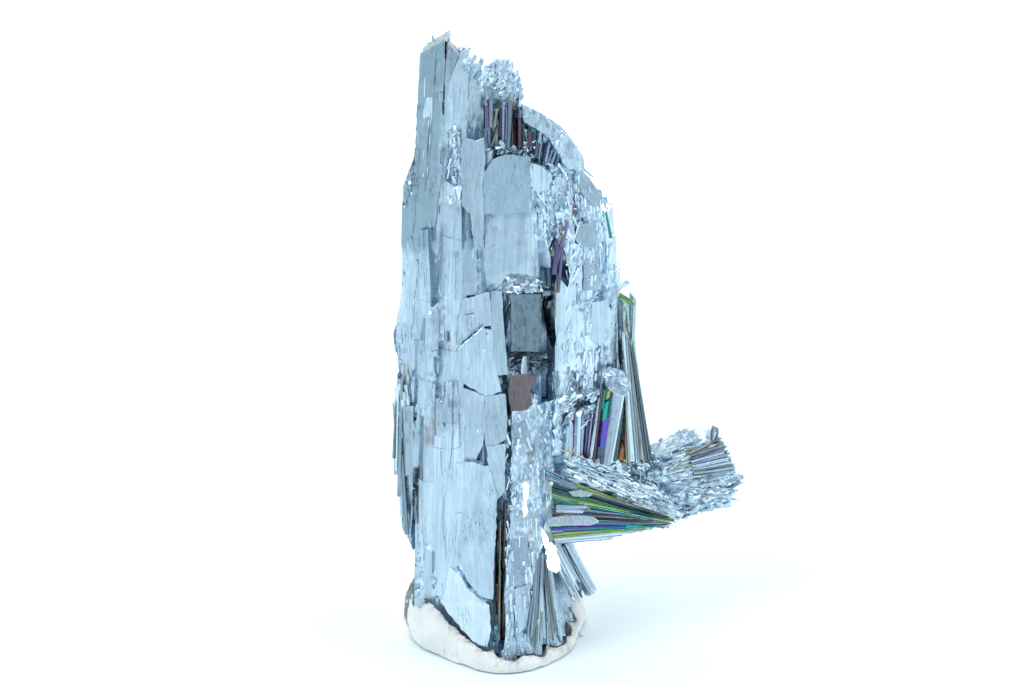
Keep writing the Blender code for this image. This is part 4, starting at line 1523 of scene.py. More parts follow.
@dataclass(frozen=True)
class Rubble:
    """Short broken crystals strewn over a patch, leaning much the same way."""

    outline: tuple[Pixel, ...]
    count: int
    along: Pixel
    length: tuple[float, float]
    width: tuple[float, float]
    looks: tuple[Look, ...] = (Look.STEEL,)
    lean: float = 14.0
    dip: float = 0.10
    proud: tuple[float, float] = (-0.1, 0.45)
    broken: float = 0.3
    seed: int = 1
    flat: tuple[float, float] = (0.16, 0.36)
    roll: float = 16.0
    taper: tuple[float, float] = (0.4, 1.1)

    def blades(self) -> list[Blade]:
        """Lay out the patch's crystals.

        Returns:
            The crystals, as many as the patch is to have.
        """
        dice = random.Random(self.seed)
        patch = Zone(self.outline, 1.0, 0.5)
        low = [min(pixel[axis] for pixel in self.outline) for axis in (0, 1)]
        high = [max(pixel[axis] for pixel in self.outline) for axis in (0, 1)]
        heading = math.atan2(self.along[1], self.along[0])
        made = []
        while len(made) < self.count:
            spot = tuple(dice.uniform(a, b) for a, b in zip(low, high))
            if patch.share(np.array([spot]))[0] < 0.5:
                continue
            turn = heading + math.radians(dice.gauss(0.0, self.lean))
            short, full = self.length
            reach = (short + (full - short) * dice.random() ** 2) / 2.0
            step = (math.cos(turn) * reach, math.sin(turn) * reach)
            fall = dice.gauss(0.0, self.dip) * reach * SCALE
            width = dice.uniform(*self.width)
            made.append(Blade(
                (spot[0] - step[0], spot[1] - step[1], fall),
                (spot[0] + step[0], spot[1] + step[1], -fall), width,
                width * dice.uniform(*self.flat), dice.choice(self.looks),
                dice.uniform(*self.taper), dice.uniform(-self.roll, self.roll), self.broken,
                dice.uniform(*self.proud)))
        return made


def ragged(outline: Sequence[Pixel], dice: random.Random) -> list[Pixel]:
    """Break an outline's long sides into short uneven ones.

    Args:
        outline: pixels round a plate.
        dice: the source of chance.

    Returns:
        The new outline.
    """
    made: list[Pixel] = []
    for start, end in zip(outline, list(outline[1:]) + [outline[0]]):
        pieces = max(1, round(math.dist(start, end) / EDGE_PITCH))
        made.append(start)
        for step in range(1, pieces):
            made.append(tuple(a + (b - a) * (step + dice.uniform(-EDGE_SLIDE, EDGE_SLIDE)) / pieces
                              + dice.uniform(-1, 1) * EDGE_STRAY
                              for a, b in zip(start, end)))
    return made


def dress(mesh: bpy.types.Mesh, grain: np.ndarray, hue: float, broken: float) -> None:
    """Store what the crystal material reads, the same all over a mesh.

    Args:
        mesh: the mesh to dress.
        grain: grain coordinates of its points.
        hue: its own tone, from 0 to 1.
        broken: how hackly it is.
    """
    count = len(grain)
    paint(mesh, "grain", "FLOAT_VECTOR", grain)
    paint(mesh, "hue", "FLOAT", np.full(count, hue))
    paint(mesh, "broken", "FLOAT", np.full(count, broken))
    paint(mesh, "film", "FLOAT", np.zeros(count))
    paint(mesh, "colour_and_shade", "FLOAT_COLOR", np.zeros((count, 4)))


class BladeShop:
    """Makes blades from a few pattern prisms and joins them by group."""

    def __init__(self, eye: Eye, skin: Skin,
                 materials: dict[Look, bpy.types.Material]) -> None:
        """Cut the pattern prisms.

        Args:
            eye: the view that turns pixels into places.
            skin: the surface that blades rest on.
            materials: material by look.
        """
        self.eye = eye
        self.skin = skin
        self.materials = materials
        self.dice = random.Random(BLADE_SEED)
        self.patterns = [self.cut_pattern(*pattern) for pattern in PATTERNS]
        self.stock: dict[str, list[bpy.types.Object]] = {}

    @staticmethod
    def cut_pattern(sides: int, ridge: float, *slants: Point) -> bpy.types.Mesh:
        """Cut a striated prism of unit size with its foot at the origin.

        Args:
            sides: faces round it, an even number.
            ridge: how far in every other edge is drawn.
            slants: normals of the planes that end it.

        Returns:
            The pattern's mesh.
        """
        deselect()
        bpy.ops.mesh.primitive_cylinder_add(
            vertices=sides, radius=0.5, depth=1.0, location=(0, 0, 0.5))
        bpy.ops.object.transform_apply(location=True, rotation=False, scale=False)
        obj = bpy.context.active_object
        bpy.ops.object.mode_set(mode="EDIT")
        bpy.ops.mesh.select_all(action="DESELECT")
        mesh = bmesh.from_edit_mesh(obj.data)
        turn = 2 * math.pi / sides
        for vertex in mesh.verts:
            step = round(math.atan2(vertex.co.y, vertex.co.x) / turn)
            vertex.select_set(step % 2 == 0 and step % 6 != 0)
        mesh.select_flush_mode()
        bmesh.update_edit_mesh(obj.data)
        bpy.ops.transform.resize(value=(ridge, ridge, 1.0), center_override=(0, 0, 0.5))
        for index, slant in enumerate(slants):
            bpy.ops.mesh.select_all(action="SELECT")
            bpy.ops.mesh.bisect(
                plane_co=(0, 0, CUT_FIRST - CUT_STEP * index),
                plane_no=Vector(slant).normalized(),
                use_fill=True, clear_outer=True)
        bpy.ops.mesh.select_all(action="SELECT")
        bpy.ops.mesh.normals_make_consistent(inside=False)
        bpy.ops.object.mode_set(mode="OBJECT")
        mesh_data = obj.data.copy()
        bpy.data.objects.remove(obj)
        return mesh_data

    def shift(self, spots: Sequence[Spot], proud: float) -> float | None:
        """Find how far along Y to move places so that they rest on the skin.

        Args:
            spots: pixels, each with the depth that its place would have.
            proud: how far before the skin the foremost one is to lie.

        Returns:
            The move along Y in millimetres, or None where there is no skin.
        """
        moves = []
        for x, y, depth in spots:
            met = self.eye.onto(self.skin.tree, (x, y))
            if met:
                moves.append(met[0].y - proud - depth)
        return min(moves) if moves else None

    def add(self, group: str, blade: Blade) -> None:
        """Add one blade to a group.

        Args:
            group: name of the joined piece it becomes part of.
            blade: its ends, size and look.
        """
        move = 0.0
        if blade.proud is not None:
            shares = [index / BLADE_STEPS for index in range(1, BLADE_STEPS)]
            move = self.shift([tuple(a + (b - a) * share for a, b in zip(
                blade.foot, blade.tip)) for share in shares], blade.proud)
            if move is None:
                return
        foot = self.eye.at_depth(blade.foot[:2], blade.foot[2] + move)
        tip = self.eye.at_depth(blade.tip[:2], blade.tip[2] + move)
        axis = tip - foot
        length = axis.length
        mesh = self.dice.choice(self.patterns).copy()
        points = np.empty(len(mesh.vertices) * 3, dtype=np.float32)
        mesh.vertices.foreach_get("co", points)
        points = points.reshape(-1, 3)
        draw = 1.0 + (blade.taper - 1.0) * points[:, 2]
        local = points * np.array((blade.width, blade.thick, length))
        local[:, :2] *= draw[:, None]
        # A slant stays as steep on a long blade as on a short one.
        end = points[:, 2] > 0.5
        size = max(blade.width, blade.thick)
        local[end, 2] = length - (1.0 - points[end, 2]) * size * END_RUN
        local[end, 2] = np.maximum(local[end, 2], length * END_LIMIT)
        z_axis = axis.normalized()
        x_axis = z_axis.cross(Vector(self.eye.forward)).normalized()
        frame = Matrix((x_axis, z_axis.cross(x_axis), z_axis)).transposed()
        frame = frame @ Matrix.Rotation(math.radians(blade.roll), 3, "Z")
        placed = local @ np.array(frame).T + np.array(foot)
        move_points(mesh, placed)
        grain = local + self.dice.uniform(0, GRAIN_STRAY)
        dress(mesh, grain, self.dice.random(), blade.broken)
        mesh.materials.append(self.materials[blade.look])
        obj = bpy.data.objects.new(group, mesh)
        bpy.context.scene.collection.objects.link(obj)
        self.stock.setdefault(group, []).append(obj)

    def add_all(self, group: str, blades: Iterable[Blade]) -> None:
        """Add several blades to a group."""
        for blade in blades:
            self.add(group, blade)

    def reach(self, pixel: Pixel, centre: Vector, facing: Vector) -> Vector:
        """Find where a pixel's ray meets a plane.

        Args:
            pixel: the pixel.
            centre: a place on the plane, in millimetres.
            facing: the plane's normal.

        Returns:
            The place in millimetres.
        """
        ray = self.eye.ray(pixel)
        run = (centre - self.eye.place).dot(facing) / ray.dot(facing)
        return self.eye.place + ray * run

    def slope(self, outline: Sequence[Pixel]) -> Point:
        """Fit a plane to the skin seen through an outline.

        Args:
            outline: pixels round it.

        Returns:
            The plane's normal, towards the front.
        """
        middle = np.mean(np.array(outline), axis=0)
        hits = []
        for pixel in outline:
            for share in SLOPE_SHARES:
                spot = tuple(middle + (np.array(pixel) - middle) * share)
                met = self.eye.onto(self.skin.tree, spot)
                if met:
                    hits.append(tuple(met[0]))
        places = np.array(hits)
        level = np.median(places[:, 1])
        near = places[np.abs(places[:, 1] - level) < SLOPE_REACH]
        table = np.column_stack((near[:, 0], near[:, 2], np.ones(len(near))))
        lean, rise, _ = np.linalg.lstsq(table, near[:, 1], rcond=None)[0]
        return (float(np.clip(lean, *LEAN_RANGE)), -1.0, float(np.clip(rise, *RISE_RANGE)))

    def add_plate(self, group: str, plate: Plate) -> None:
        """Add one flat plate to a group.

        Args:
            group: name of the joined piece it becomes part of.
            plate: its outline, place and look.
        """
        depth = plate.depth
        normal = self.slope(plate.outline) if plate.normal is None else plate.normal
        outline = ragged(plate.outline, self.dice)
        middle = (sum(p[0] for p in outline) / len(outline),
                  sum(p[1] for p in outline) / len(outline))
        centre = self.eye.at_depth(middle, depth)
        facing = Vector(normal).normalized()
        if plate.proud is not None:
            move = self.shift([(*pixel, self.reach(pixel, centre, facing).y)
                               for pixel in outline], plate.proud)
            depth += move or 0.0
            centre = self.eye.at_depth(middle, depth)
        corners = [self.reach(pixel, centre, facing) for pixel in outline]
        deselect()
        bpy.ops.mesh.primitive_circle_add(vertices=len(outline), fill_type="NGON")
        obj = bpy.context.active_object
        obj.name = group
        bpy.ops.object.mode_set(mode="EDIT")
        mesh = bmesh.from_edit_mesh(obj.data)
        mesh.verts.ensure_lookup_table()
        for vertex, corner in zip(mesh.verts, corners):
            vertex.co = corner * MM
        bmesh.update_edit_mesh(obj.data)
        bpy.ops.mesh.select_all(action="SELECT")
        bpy.ops.mesh.extrude_region_move(
            TRANSFORM_OT_translate={"value": -facing * plate.thick * MM})
        bpy.ops.mesh.select_all(action="SELECT")
        bpy.ops.mesh.normals_make_consistent(inside=False)
        bpy.ops.mesh.bevel(offset=BEVEL * MM, segments=1)
        bpy.ops.mesh.quads_convert_to_tris()
        bpy.ops.object.mode_set(mode="OBJECT")
        grain = mesh_points(obj.data) + PLATE_GRAIN
        dress(obj.data, grain, self.dice.uniform(*PLATE_HUES), plate.broken)
        obj.data.materials.append(self.materials[plate.look])
        self.stock.setdefault(group, []).append(obj)

    def finish(self) -> list[bpy.types.Object]:
        """Join each group into one piece and smooth its shallow edges.

        Returns:
            The joined pieces.
        """
        made = []
        for group, pieces in self.stock.items():
            piece = join(group, pieces)
            take(piece)
            bpy.ops.object.shade_smooth_by_angle(angle=math.radians(BLADE_ANGLE))
            made.append(piece)
        return made


ARM_SHEAVES = (
    Bundle(((546, 474, -9.6), (549, 500, -10.6)), ((671, 518, -4.6), (677, 522, -4.9)),
           110, (0.14, 0.36), (0.2, 0.4), (Look.NEEDLE, Look.GREEN, Look.DARK,
           Look.GOLD, Look.NEEDLE, Look.TEAL, Look.NEEDLE, Look.DARK), 0.5, 1.4, 0.14,
           3, 0.25),
    Bundle(((550, 500, -10.2), (551, 526, -10.4)), ((668, 520, -5.0), (674, 524, -5.2)),
           80, (0.16, 0.42), (0.2, 0.4), (Look.STEEL, Look.SHADED, Look.DARK,
           Look.NEEDLE, Look.DARK, Look.DARK), 0.5, 1.3, 0.45, 5, 0.0),
    Bundle(((545, 468, -9.4), (549, 482, -9.6)), ((572, 482, -8.6), (580, 488, -8.6)),
           9, (0.2, 0.4), (0.2, 0.4), (Look.VIOLET, Look.BLUE), 0.6, 0.8, 0.3, 21, 0.5),
    Bundle(((620, 500, -6.6), (624, 506, -6.6)), ((646, 511, -5.6), (650, 514, -5.6)),
           6, (0.16, 0.3), (0.2, 0.3), (Look.EMBER, Look.EMBER, Look.BLUE), 0.6, 0.8,
           0.3, 22, 0.55),
    Bundle(((556, 503, -9.6), (556, 511, -9.8)), ((590, 505, -8.4), (592, 512, -8.4)),
           5, (0.7, 1.1), (0.5, 0.8), (Look.STEEL, Look.SHADED), 0.9, 0.8, 0.2, 31, 0.3))
LOWER_BLADES = (
    Bundle(((551, 527, -10.6), (553, 537, -10.4)), ((660, 525, -5.4), (655, 527, -5.4)),
           18, (0.3, 0.7), (0.35, 0.6), (Look.TEAL, Look.BLUE, Look.TEAL,
           Look.GREEN, Look.NEEDLE, Look.TEAL, Look.GOLD), 0.5, 0.6, 0.10, 6, 0.3),
    Bundle(((624, 523, -7.6), (626, 529, -7.6)), ((648, 524, -6.4), (652, 526, -6.4)),
           4, (0.35, 0.6), (0.3, 0.5), (Look.BLUE, Look.EMBER), 0.6, 0.6, 0.2, 63, 0.5),
    Bundle(((551, 529, -10.6), (552, 534, -10.4)), ((566, 529, -9.8), (568, 533, -9.8)),
           3, (0.35, 0.6), (0.3, 0.5), (Look.BLUE, Look.VIOLET), 0.7, 0.5, 0.2, 64, 0.5),
    Bundle(((553, 538, -10.0), (556, 543, -9.6)), ((650, 529, -5.6), (600, 540, -8.0)),
           8, (0.4, 0.8), (0.4, 0.6), (Look.BRIGHT, Look.STEEL, Look.VIOLET), 0.5, 0.5,
           0.06, 7, 0.1))
STANDING = (
    Blade((566, 458, -2.0), (568, 424, -1.4), 0.8, 0.9, Look.SLATE, 0.95, 10),
    Blade((570, 460, -2.0), (571, 418, -1.4), 0.9, 1.0, Look.LILAC, 0.95, 10),
    Blade((573, 459, -2.0), (575, 414, -1.4), 0.5, 0.8, Look.DARK, 0.95, 26),
    Blade((577, 461, -2.2), (579, 411, -1.6), 1.1, 1.2, Look.STEEL, 0.9, -14),
    Blade((580, 460, -2.2), (583, 416, -1.6), 0.7, 0.9, Look.LILAC, 0.9, 20),
    Blade((584, 461, -2.0), (588, 412, -1.6), 0.8, 1.1, Look.DARK, 0.9, 20),
    Blade((587, 461, -2.1), (592, 414, -1.4), 0.45, 0.7, Look.VIOLET, 0.9, 30),
    Blade((590, 463, -2.6), (601, 396, -1.6), 1.0, 1.0, Look.BRIGHT, 0.85, -12, 0, 0.6),
    Blade((592, 461, -1.9), (603, 372, -1.0), 0.5, 0.8, Look.VIOLET, 0.8, 24, 0, 0.2),
    Blade((594, 462, -2.8), (603, 384, -1.9), 0.5, 0.9, Look.DARK, 0.95, -20, 0, 1.0),
    Blade((597, 462, -2.8), (601, 424, -2.3), 0.8, 1.0, Look.GREEN, 1.0, -8, 0, 1.2),
    Blade((600, 463, -2.8), (603, 436, -2.3), 1.6, 1.4, Look.DARK, 1.0, -8, 0, 1.3),
    Blade((601, 446, -2.4), (605, 414, -2.1), 1.7, 1.4, Look.BLUE, 1.0, -8, 0, 1.4),
    Blade((603, 424, -2.4), (607, 396, -2.1), 1.6, 1.4, Look.TEAL, 1.0, -8, 0, 1.5),
    Blade((602, 408, -2.4), (605, 386, -2.1), 0.8, 1.0, Look.GREEN, 1.0, -8, 0, 1.6),
    Blade((606, 404, -2.2), (609, 386, -1.9), 1.3, 1.2, Look.GOLD, 0.95, -8, 0, 1.6),
    Blade((606, 463, -1.6), (619, 378, -0.8), 1.9, 2.0, Look.LILAC, 1.25, -8, 0, 1.5),
    Blade((610, 462, -1.6), (624, 382, -0.8), 0.8, 1.6, Look.STEEL, 1.2, 12, 0, 1.2),
    Blade((614, 462, -1.9), (622, 400, -1.0), 1.0, 1.1, Look.HOLLOW, 1.0, 18, 0, 0.7),
    Blade((620, 460, -1.2), (622, 443, -0.6), 1.0, 0.8, Look.EMBER, 0.9, -10, 0, 0.9),
    Blade((623, 462, -1.2), (628, 398, -0.6), 1.1, 1.1, Look.DARK, 0.9, -10, 0, 0.4))
BACK_NEEDLES = (
    Bundle(((627, 462, 1.0), (652, 460, 2.0)), ((620, 292, 2.6), (630, 322, 3.0)),
           44, (0.25, 0.7), (0.4, 0.8), (Look.STEEL, Look.OLIVE, Look.SHADED,
           Look.BRONZE, Look.HOLLOW, Look.STEEL, Look.SHADED), 0.45, 1.6, 0.6, 8, 0.2),)
NICHE = (
    Blade((487, 128, -3.8), (486, 100, -3.0), 0.9, 0.9, Look.VIOLET, 1.0, 12),
    Blade((491, 127, -3.8), (491, 98, -3.0), 0.8, 0.9, Look.LILAC, 1.0, -16),
    Blade((494, 127, -4.2), (497, 108, -3.6), 0.8, 0.8, Look.OLIVE, 0.9, -20, 0, 0.4),
    Blade((492, 146, -4.8), (499, 124, -4.2), 0.5, 0.6, Look.BRONZE, 0.8, 10),
    Blade((496, 148, -4.8), (498, 118, -4.2), 0.7, 0.7, Look.SHADED, 0.8, 30),
    Blade((500, 136, -4.0), (502, 104, -3.2), 0.5, 0.7, Look.DARK, 0.9, 25),
    Blade((503, 140, -4.1), (504, 102, -3.2), 0.5, 0.7, Look.LILAC, 0.9, -18),
    Blade((506, 140, -4.1), (507, 104, -3.2), 0.4, 0.7, Look.VIOLET, 0.9, -18),
    Blade((508, 148, -4.8), (511, 98, -3.8), 0.9, 0.9, Look.SHADED, 0.95, 8, 0, 0.5),
    Blade((512, 146, -4.6), (513, 102, -3.6), 0.5, 0.7, Look.OLIVE, 0.95, 28, 0, 0.4),
    Blade((516, 146, -4.0), (515, 106, -3.2), 0.7, 0.9, Look.DARK, 0.9, 0),
    Blade((520, 147, -4.6), (520, 117, -4.0), 0.8, 0.9, Look.DARK, 1.0, -12, 0, 0.4),
    Blade((524, 147, -4.6), (523, 119, -4.0), 0.8, 0.9, Look.HOLLOW, 1.0, 22, 0, 0.3),
    Blade((520, 122, -3.8), (519, 104, -3.0), 0.5, 0.6, Look.LILAC, 0.8, 30),
    Blade((530, 146, -3.4), (531, 126, -2.8), 0.9, 0.9, Look.DARK, 0.9, 14),
    Blade((534, 146, -3.4), (535, 124, -2.8), 0.8, 0.9, Look.DARK, 0.9, -20),
    Blade((532, 132, -3.4), (533, 122, -2.8), 0.9, 0.8, Look.GREEN, 0.9, 14, 0, 0.5),
    Blade((539, 143, -3.6), (541, 127, -3.0), 0.8, 0.8, Look.STEEL, 0.9, -24),
    Blade((545, 143, -3.2), (546, 129, -2.6), 0.8, 0.8, Look.STEEL, 0.9, 12),
    Blade((536, 156, -4.6), (538, 140, -4.0), 0.55, 0.9, Look.VIOLET, 1.0, 10, 0, 0.6),
    Blade((539, 159, -4.6), (542, 140, -4.0), 0.6, 0.9, Look.LILAC, 1.0, -12, 0, 0.7),
    Blade((543, 161, -4.6), (546, 140, -4.0), 0.5, 0.9, Look.DARK, 1.0, 20, 0, 0.6),
    Blade((546, 162, -4.6), (550, 142, -4.0), 0.6, 1.0, Look.LILAC, 1.0, -8, 0, 0.8),
    Blade((549, 163, -4.2), (554, 147, -3.8), 0.5, 0.9, Look.VIOLET, 1.0, -14, 0, 0.7),
    Blade((552, 164, -4.2), (557, 150, -3.8), 0.5, 0.9, Look.LILAC, 1.0, -14, 0, 0.6),
    Blade((555, 166, -3.6), (559, 153, -3.4), 0.6, 0.8, Look.DARK, 0.9, 20, 0, 0.4))
CHANNEL = (
    Blade((556, 262, -5.6), (568, 221, -4.8), 1.1, 1.0, Look.VIOLET, 0.5, 14, 0, 0.1),
    Blade((553, 256, -5.2), (563, 232, -4.6), 0.9, 0.9, Look.RAINBOW, 0.6, -22, 0, 0.1),
    Blade((557, 292, -5.4), (562, 244, -4.8), 0.9, 0.9, Look.DARK, 0.8, 8, 0, 0.1),
    Blade((554, 274, -5.4), (558, 240, -4.8), 1.1, 0.9, Look.DARK, 0.8, 8, 0, 0.1),
    Blade((543, 286, -7.4), (541, 267, -6.8), 1.5, 1.3, Look.DARK, 0.9, 12, 0, 0.2),
    Blade((549, 286, -6.8), (549, 268, -6.2), 1.2, 1.1, Look.DARK, 0.9, -18, 0, 0.2),
    Blade((542, 293, -8.2), (553, 292, -7.8), 1.2, 1.0, Look.SHADED, 0.9, 0, 0, 0.4),
    Blade((555, 318, -7.0), (556, 280, -6.4), 0.4, 0.5, Look.BRONZE, 0.8, 0, 0, 0.4))
SPRAY_TOP = (
    Blade((619, 296, 0.6), (635, 304, -0.2), 1.2, 1.0, Look.NEEDLE, 0.55, 20, 0, None),
    Blade((616, 288, 0.6), (629, 281, 0.2), 1.1, 1.0, Look.STEEL, 0.7, -16, 0, None),
    Blade((611, 238, 1.4), (606, 212, 1.8), 0.5, 0.6, Look.NEEDLE, 0.7, 12))
FAN_SHEAVES = (
    Bundle(((690, 452, 2.4), (694, 476, 1.6)), ((722, 437, 4.0), (738, 470, 3.0)),
           70, (0.16, 0.42), (0.3, 0.5), (Look.STEEL, Look.OLIVE, Look.SHADED,
           Look.LILAC, Look.STEEL, Look.VIOLET, Look.OLIVE, Look.STEEL, Look.EMBER,
           Look.BLUE, Look.LILAC, Look.STEEL), 1.2, 1.1, 0.10, 9, 0.0),
    Bundle(((712, 440, 3.4), (716, 440, 3.4)), ((713, 424, 3.6), (718, 427, 3.6)),
           3, (0.8, 1.1), (0.7, 1.0), (Look.STEEL, Look.SHADED), 0.7, 0.8, 0.1, 17, None))
FOOT_SHEAVES = (
    Bundle(((538, 552, -9.4), (548, 556, -8.4)), ((527, 656, -14.4), (563, 646, -9.0)),
           84, (0.16, 0.42), (0.2, 0.4), (Look.STEEL, Look.SHADED, Look.STEEL,
           Look.OLIVE, Look.LILAC, Look.STEEL, Look.STEEL), 1.3, 1.6, 0.45, 12, -0.1),
    Bundle(((548, 548, -8.0), (566, 545, -6.8)), ((573, 602, -7.0), (595, 596, -2.4)),
           70, (0.18, 0.5), (0.3, 0.5), (Look.STEEL, Look.SHADED, Look.STEEL,
           Look.SHADED, Look.BRIGHT, Look.STEEL, Look.DARK), 1.1, 1.8, 0.5, 13, 0.25))
EDGE_BLADES = (
    Blade((399, 496, -3.4), (402, 376, -2.6), 0.7, 0.8, Look.SHADED, 0.5, 8, 0, 0.05),
    Blade((396.5, 470, -3.2), (398.5, 384, -2.6), 0.6, 0.8, Look.STEEL, 0.6, -12, 0, 0.05),
    Blade((402, 516, -3.4), (399, 430, -2.6), 0.7, 0.8, Look.STEEL, 0.4, 16, 0, 0.05),
    Blade((407, 534, -3.4), (402, 452, -2.6), 0.8, 0.8, Look.SHADED, 0.4, -8, 0, 0.05),
    Blade((393.5, 458, -3.2), (396, 400, -2.6), 0.5, 0.7, Look.SHADED, 0.6, 8, 0, 0.05))
TORN = (Look.STEEL, Look.STEEL, Look.BRIGHT, Look.STEEL, Look.SHADED)
PALE_TORN = (Look.STEEL, Look.BRIGHT)
RUBBLE = (
    Rubble(((571, 454), (595, 463), (638, 471), (663, 490), (678, 507), (674, 518),
            (650, 506), (620, 497), (597, 486), (566, 478)), 260, (0.93, 0.36), (4, 22),
           (0.20, 0.65), PALE_TORN, 7, 0.12, (0.0, 0.5), 0.5, 41, (0.25, 0.5), 28),
    Rubble(((655, 442), (690, 428), (702, 440), (690, 452), (660, 458)), 70, (0.9, -0.35),
           (3, 11), (0.3, 0.8), PALE_TORN, 16, 0.15, (-0.25, 0.1), 0.7, 62),
    Rubble(((564, 453), (574, 450), (582, 458), (568, 463)), 22, (0.9, 0.2), (3, 7),
           (0.3, 0.8), (Look.CRUST,), 30, 0.2, (0.1, 0.8), 0.8, 42, (0.4, 0.8), 40),
    Rubble(((566, 457), (590, 460), (625, 460), (652, 466), (640, 474), (600, 468)), 90,
           (0.9, 0.3), (3, 9), (0.3, 0.8), TORN, 30, 0.3, (0.6, 1.7), 0.7, 61,
           (0.4, 0.8), 40),
    Rubble(((617, 467), (624, 467), (645, 488), (640, 492)), 16, (0.75, 0.66), (4, 9),
           (0.25, 0.5), (Look.CRUST, Look.STEEL), 12, 0.2, (0.3, 0.8), 0.7, 43),
    Rubble(((634, 456), (652, 452), (664, 462), (662, 484), (640, 480)), 70,
           (0.5, 0.8), (3, 8), (0.3, 0.9), TORN, 35, 0.4, (0.0, 0.8), 0.7, 44,
           (0.4, 0.8), 40),
    Rubble(((668, 456), (690, 446), (712, 440), (710, 470), (690, 480), (670, 474)), 110,
           (0.93, -0.32), (5, 16), (0.2, 0.6), (Look.STEEL, Look.OLIVE, Look.BRIGHT,
           Look.STEEL), 9, 0.12, (-0.1, 0.25), 0.5, 45),
    Rubble(((676, 482), (742, 470), (748, 486), (744, 499), (704, 510), (680, 519)), 150,
           (0.95, -0.25), (3, 12), (0.2, 0.7), TORN, 16, 0.15, (-0.3, 0.08), 0.7,
           46, (0.2, 0.5), 24),
    Rubble(((486, 70), (491, 66), (499, 59), (511, 62), (519, 74), (523, 100), (505, 98),
            (490, 88)), 150, (0.3, -0.95), (3, 10), (0.3, 0.8),
           (Look.STEEL, Look.BRIGHT, Look.STEEL), 24, 0.15, (-0.34, 0.02), 0.6, 47),
    Rubble(((459, 40), (470, 52), (489, 72), (492, 84), (478, 78), (462, 58)), 60,
           (0.35, -0.94), (4, 16), (0.4, 1.1), PALE_TORN, 12, 0.2, (-0.25, 0.1), 0.5,
           48),
    Rubble(((497, 142), (536, 141), (540, 158), (500, 158)), 70, (0.9, 0.2), (2, 7),
           (0.3, 0.7), PALE_TORN, 40, 0.4, (0.1, 0.5), 0.8, 49),
    Rubble(((505, 277), (543, 281), (550, 291), (520, 294), (506, 292)), 60, (0.95, 0.2),
           (2, 8), (0.25, 0.7), TORN, 30, 0.4, (0.0, 0.5), 0.7, 50),
    Rubble(((604, 370), (610, 367), (623, 372), (630, 385), (626, 394), (617, 394),
            (607, 385)), 60, (0.8, 0.5), (2, 9), (0.2, 0.6), PALE_TORN, 25, 0.3,
           (1.65, 2.1), 0.6, 65),
    Rubble(((507, 354), (543, 354), (543, 370), (508, 370)), 70, (0.85, -0.5), (3, 12),
           (0.12, 0.35), (Look.SHADED, Look.DARK, Look.STEEL), 12, 0.2, (0.0, 0.4), 0.5,
           51),
    Rubble(((562, 396), (598, 392), (592, 426), (564, 436)), 80, (0.7, -0.7), (3, 13),
           (0.25, 0.8), TORN, 14, 0.3, (0.0, 0.5), 0.6, 52),
    Rubble(((534, 165), (585, 165), (606, 205), (606, 250), (575, 225), (560, 262),
            (540, 240)), 170, (0.22, 0.97), (4, 18), (0.12, 0.5), PALE_TORN, 14, 0.2,
           (-0.32, 0.04), 0.5, 53),
    Rubble(((565, 225), (612, 245), (620, 280), (604, 385), (566, 390)), 120,
           (-0.15, 0.99), (5, 26), (0.12, 0.5), PALE_TORN, 9, 0.12, (-0.30, 0.02), 0.4,
           54),
    Rubble(((502, 415), (558, 400), (560, 470), (530, 515), (504, 512)), 130,
           (0.1, 0.99), (3, 16), (0.15, 0.6), PALE_TORN, 14, 0.2, (-0.32, 0.06), 0.5,
           55),
    Rubble(((506, 520), (540, 520), (545, 560), (536, 600), (540, 655), (505, 662)), 150,
           (0.03, 1.0), (4, 20), (0.12, 0.5), PALE_TORN, 8, 0.15, (-0.32, 0.04), 0.5,
           56),
    Rubble(((448, 130), (461, 130), (461, 202), (448, 202)), 40, (0.05, 1.0), (4, 14),
           (0.2, 0.6), PALE_TORN, 10, 0.2, (-0.32, 0.04), 0.5, 57),
    Rubble(((396, 392), (409, 392), (409, 434), (393, 434)), 30, (0.05, 1.0), (8, 30),
           (0.3, 0.8), (Look.SHADED, Look.STEEL), 4, 0.1, (-0.2, 0.05), 0.3, 58),
    Rubble(((470, 330), (486, 326), (486, 356), (472, 362)), 30, (0.4, -0.9), (3, 10),
           (0.3, 0.8), TORN, 12, 0.2, (0.0, 0.3), 0.5, 59),
    Rubble(((470, 390), (504, 384), (508, 440), (472, 446)), 18, (0.1, 1.0), (6, 24),
           (0.3, 1.0), PALE_TORN, 9, 0.15, (-0.32, 0.0), 0.4, 60))
CREVICE = (
    Blade((498, 603, -14.2), (497, 584, -13.6), 0.4, 0.5, Look.EMBER, 0.6, 0, 0, None),
    Blade((500, 576, -13.4), (499, 559, -12.8), 0.4, 0.5, Look.GREEN, 0.6, 10, 0, None),
    Blade((499, 640, -14.2), (500, 520, -11.4), 0.5, 0.6, Look.BRONZE, 0.8, 0, 0, None),
    Blade((503, 636, -13.6), (505, 500, -11.2), 0.7, 0.8, Look.DARK, 0.8, 20, 0, None))

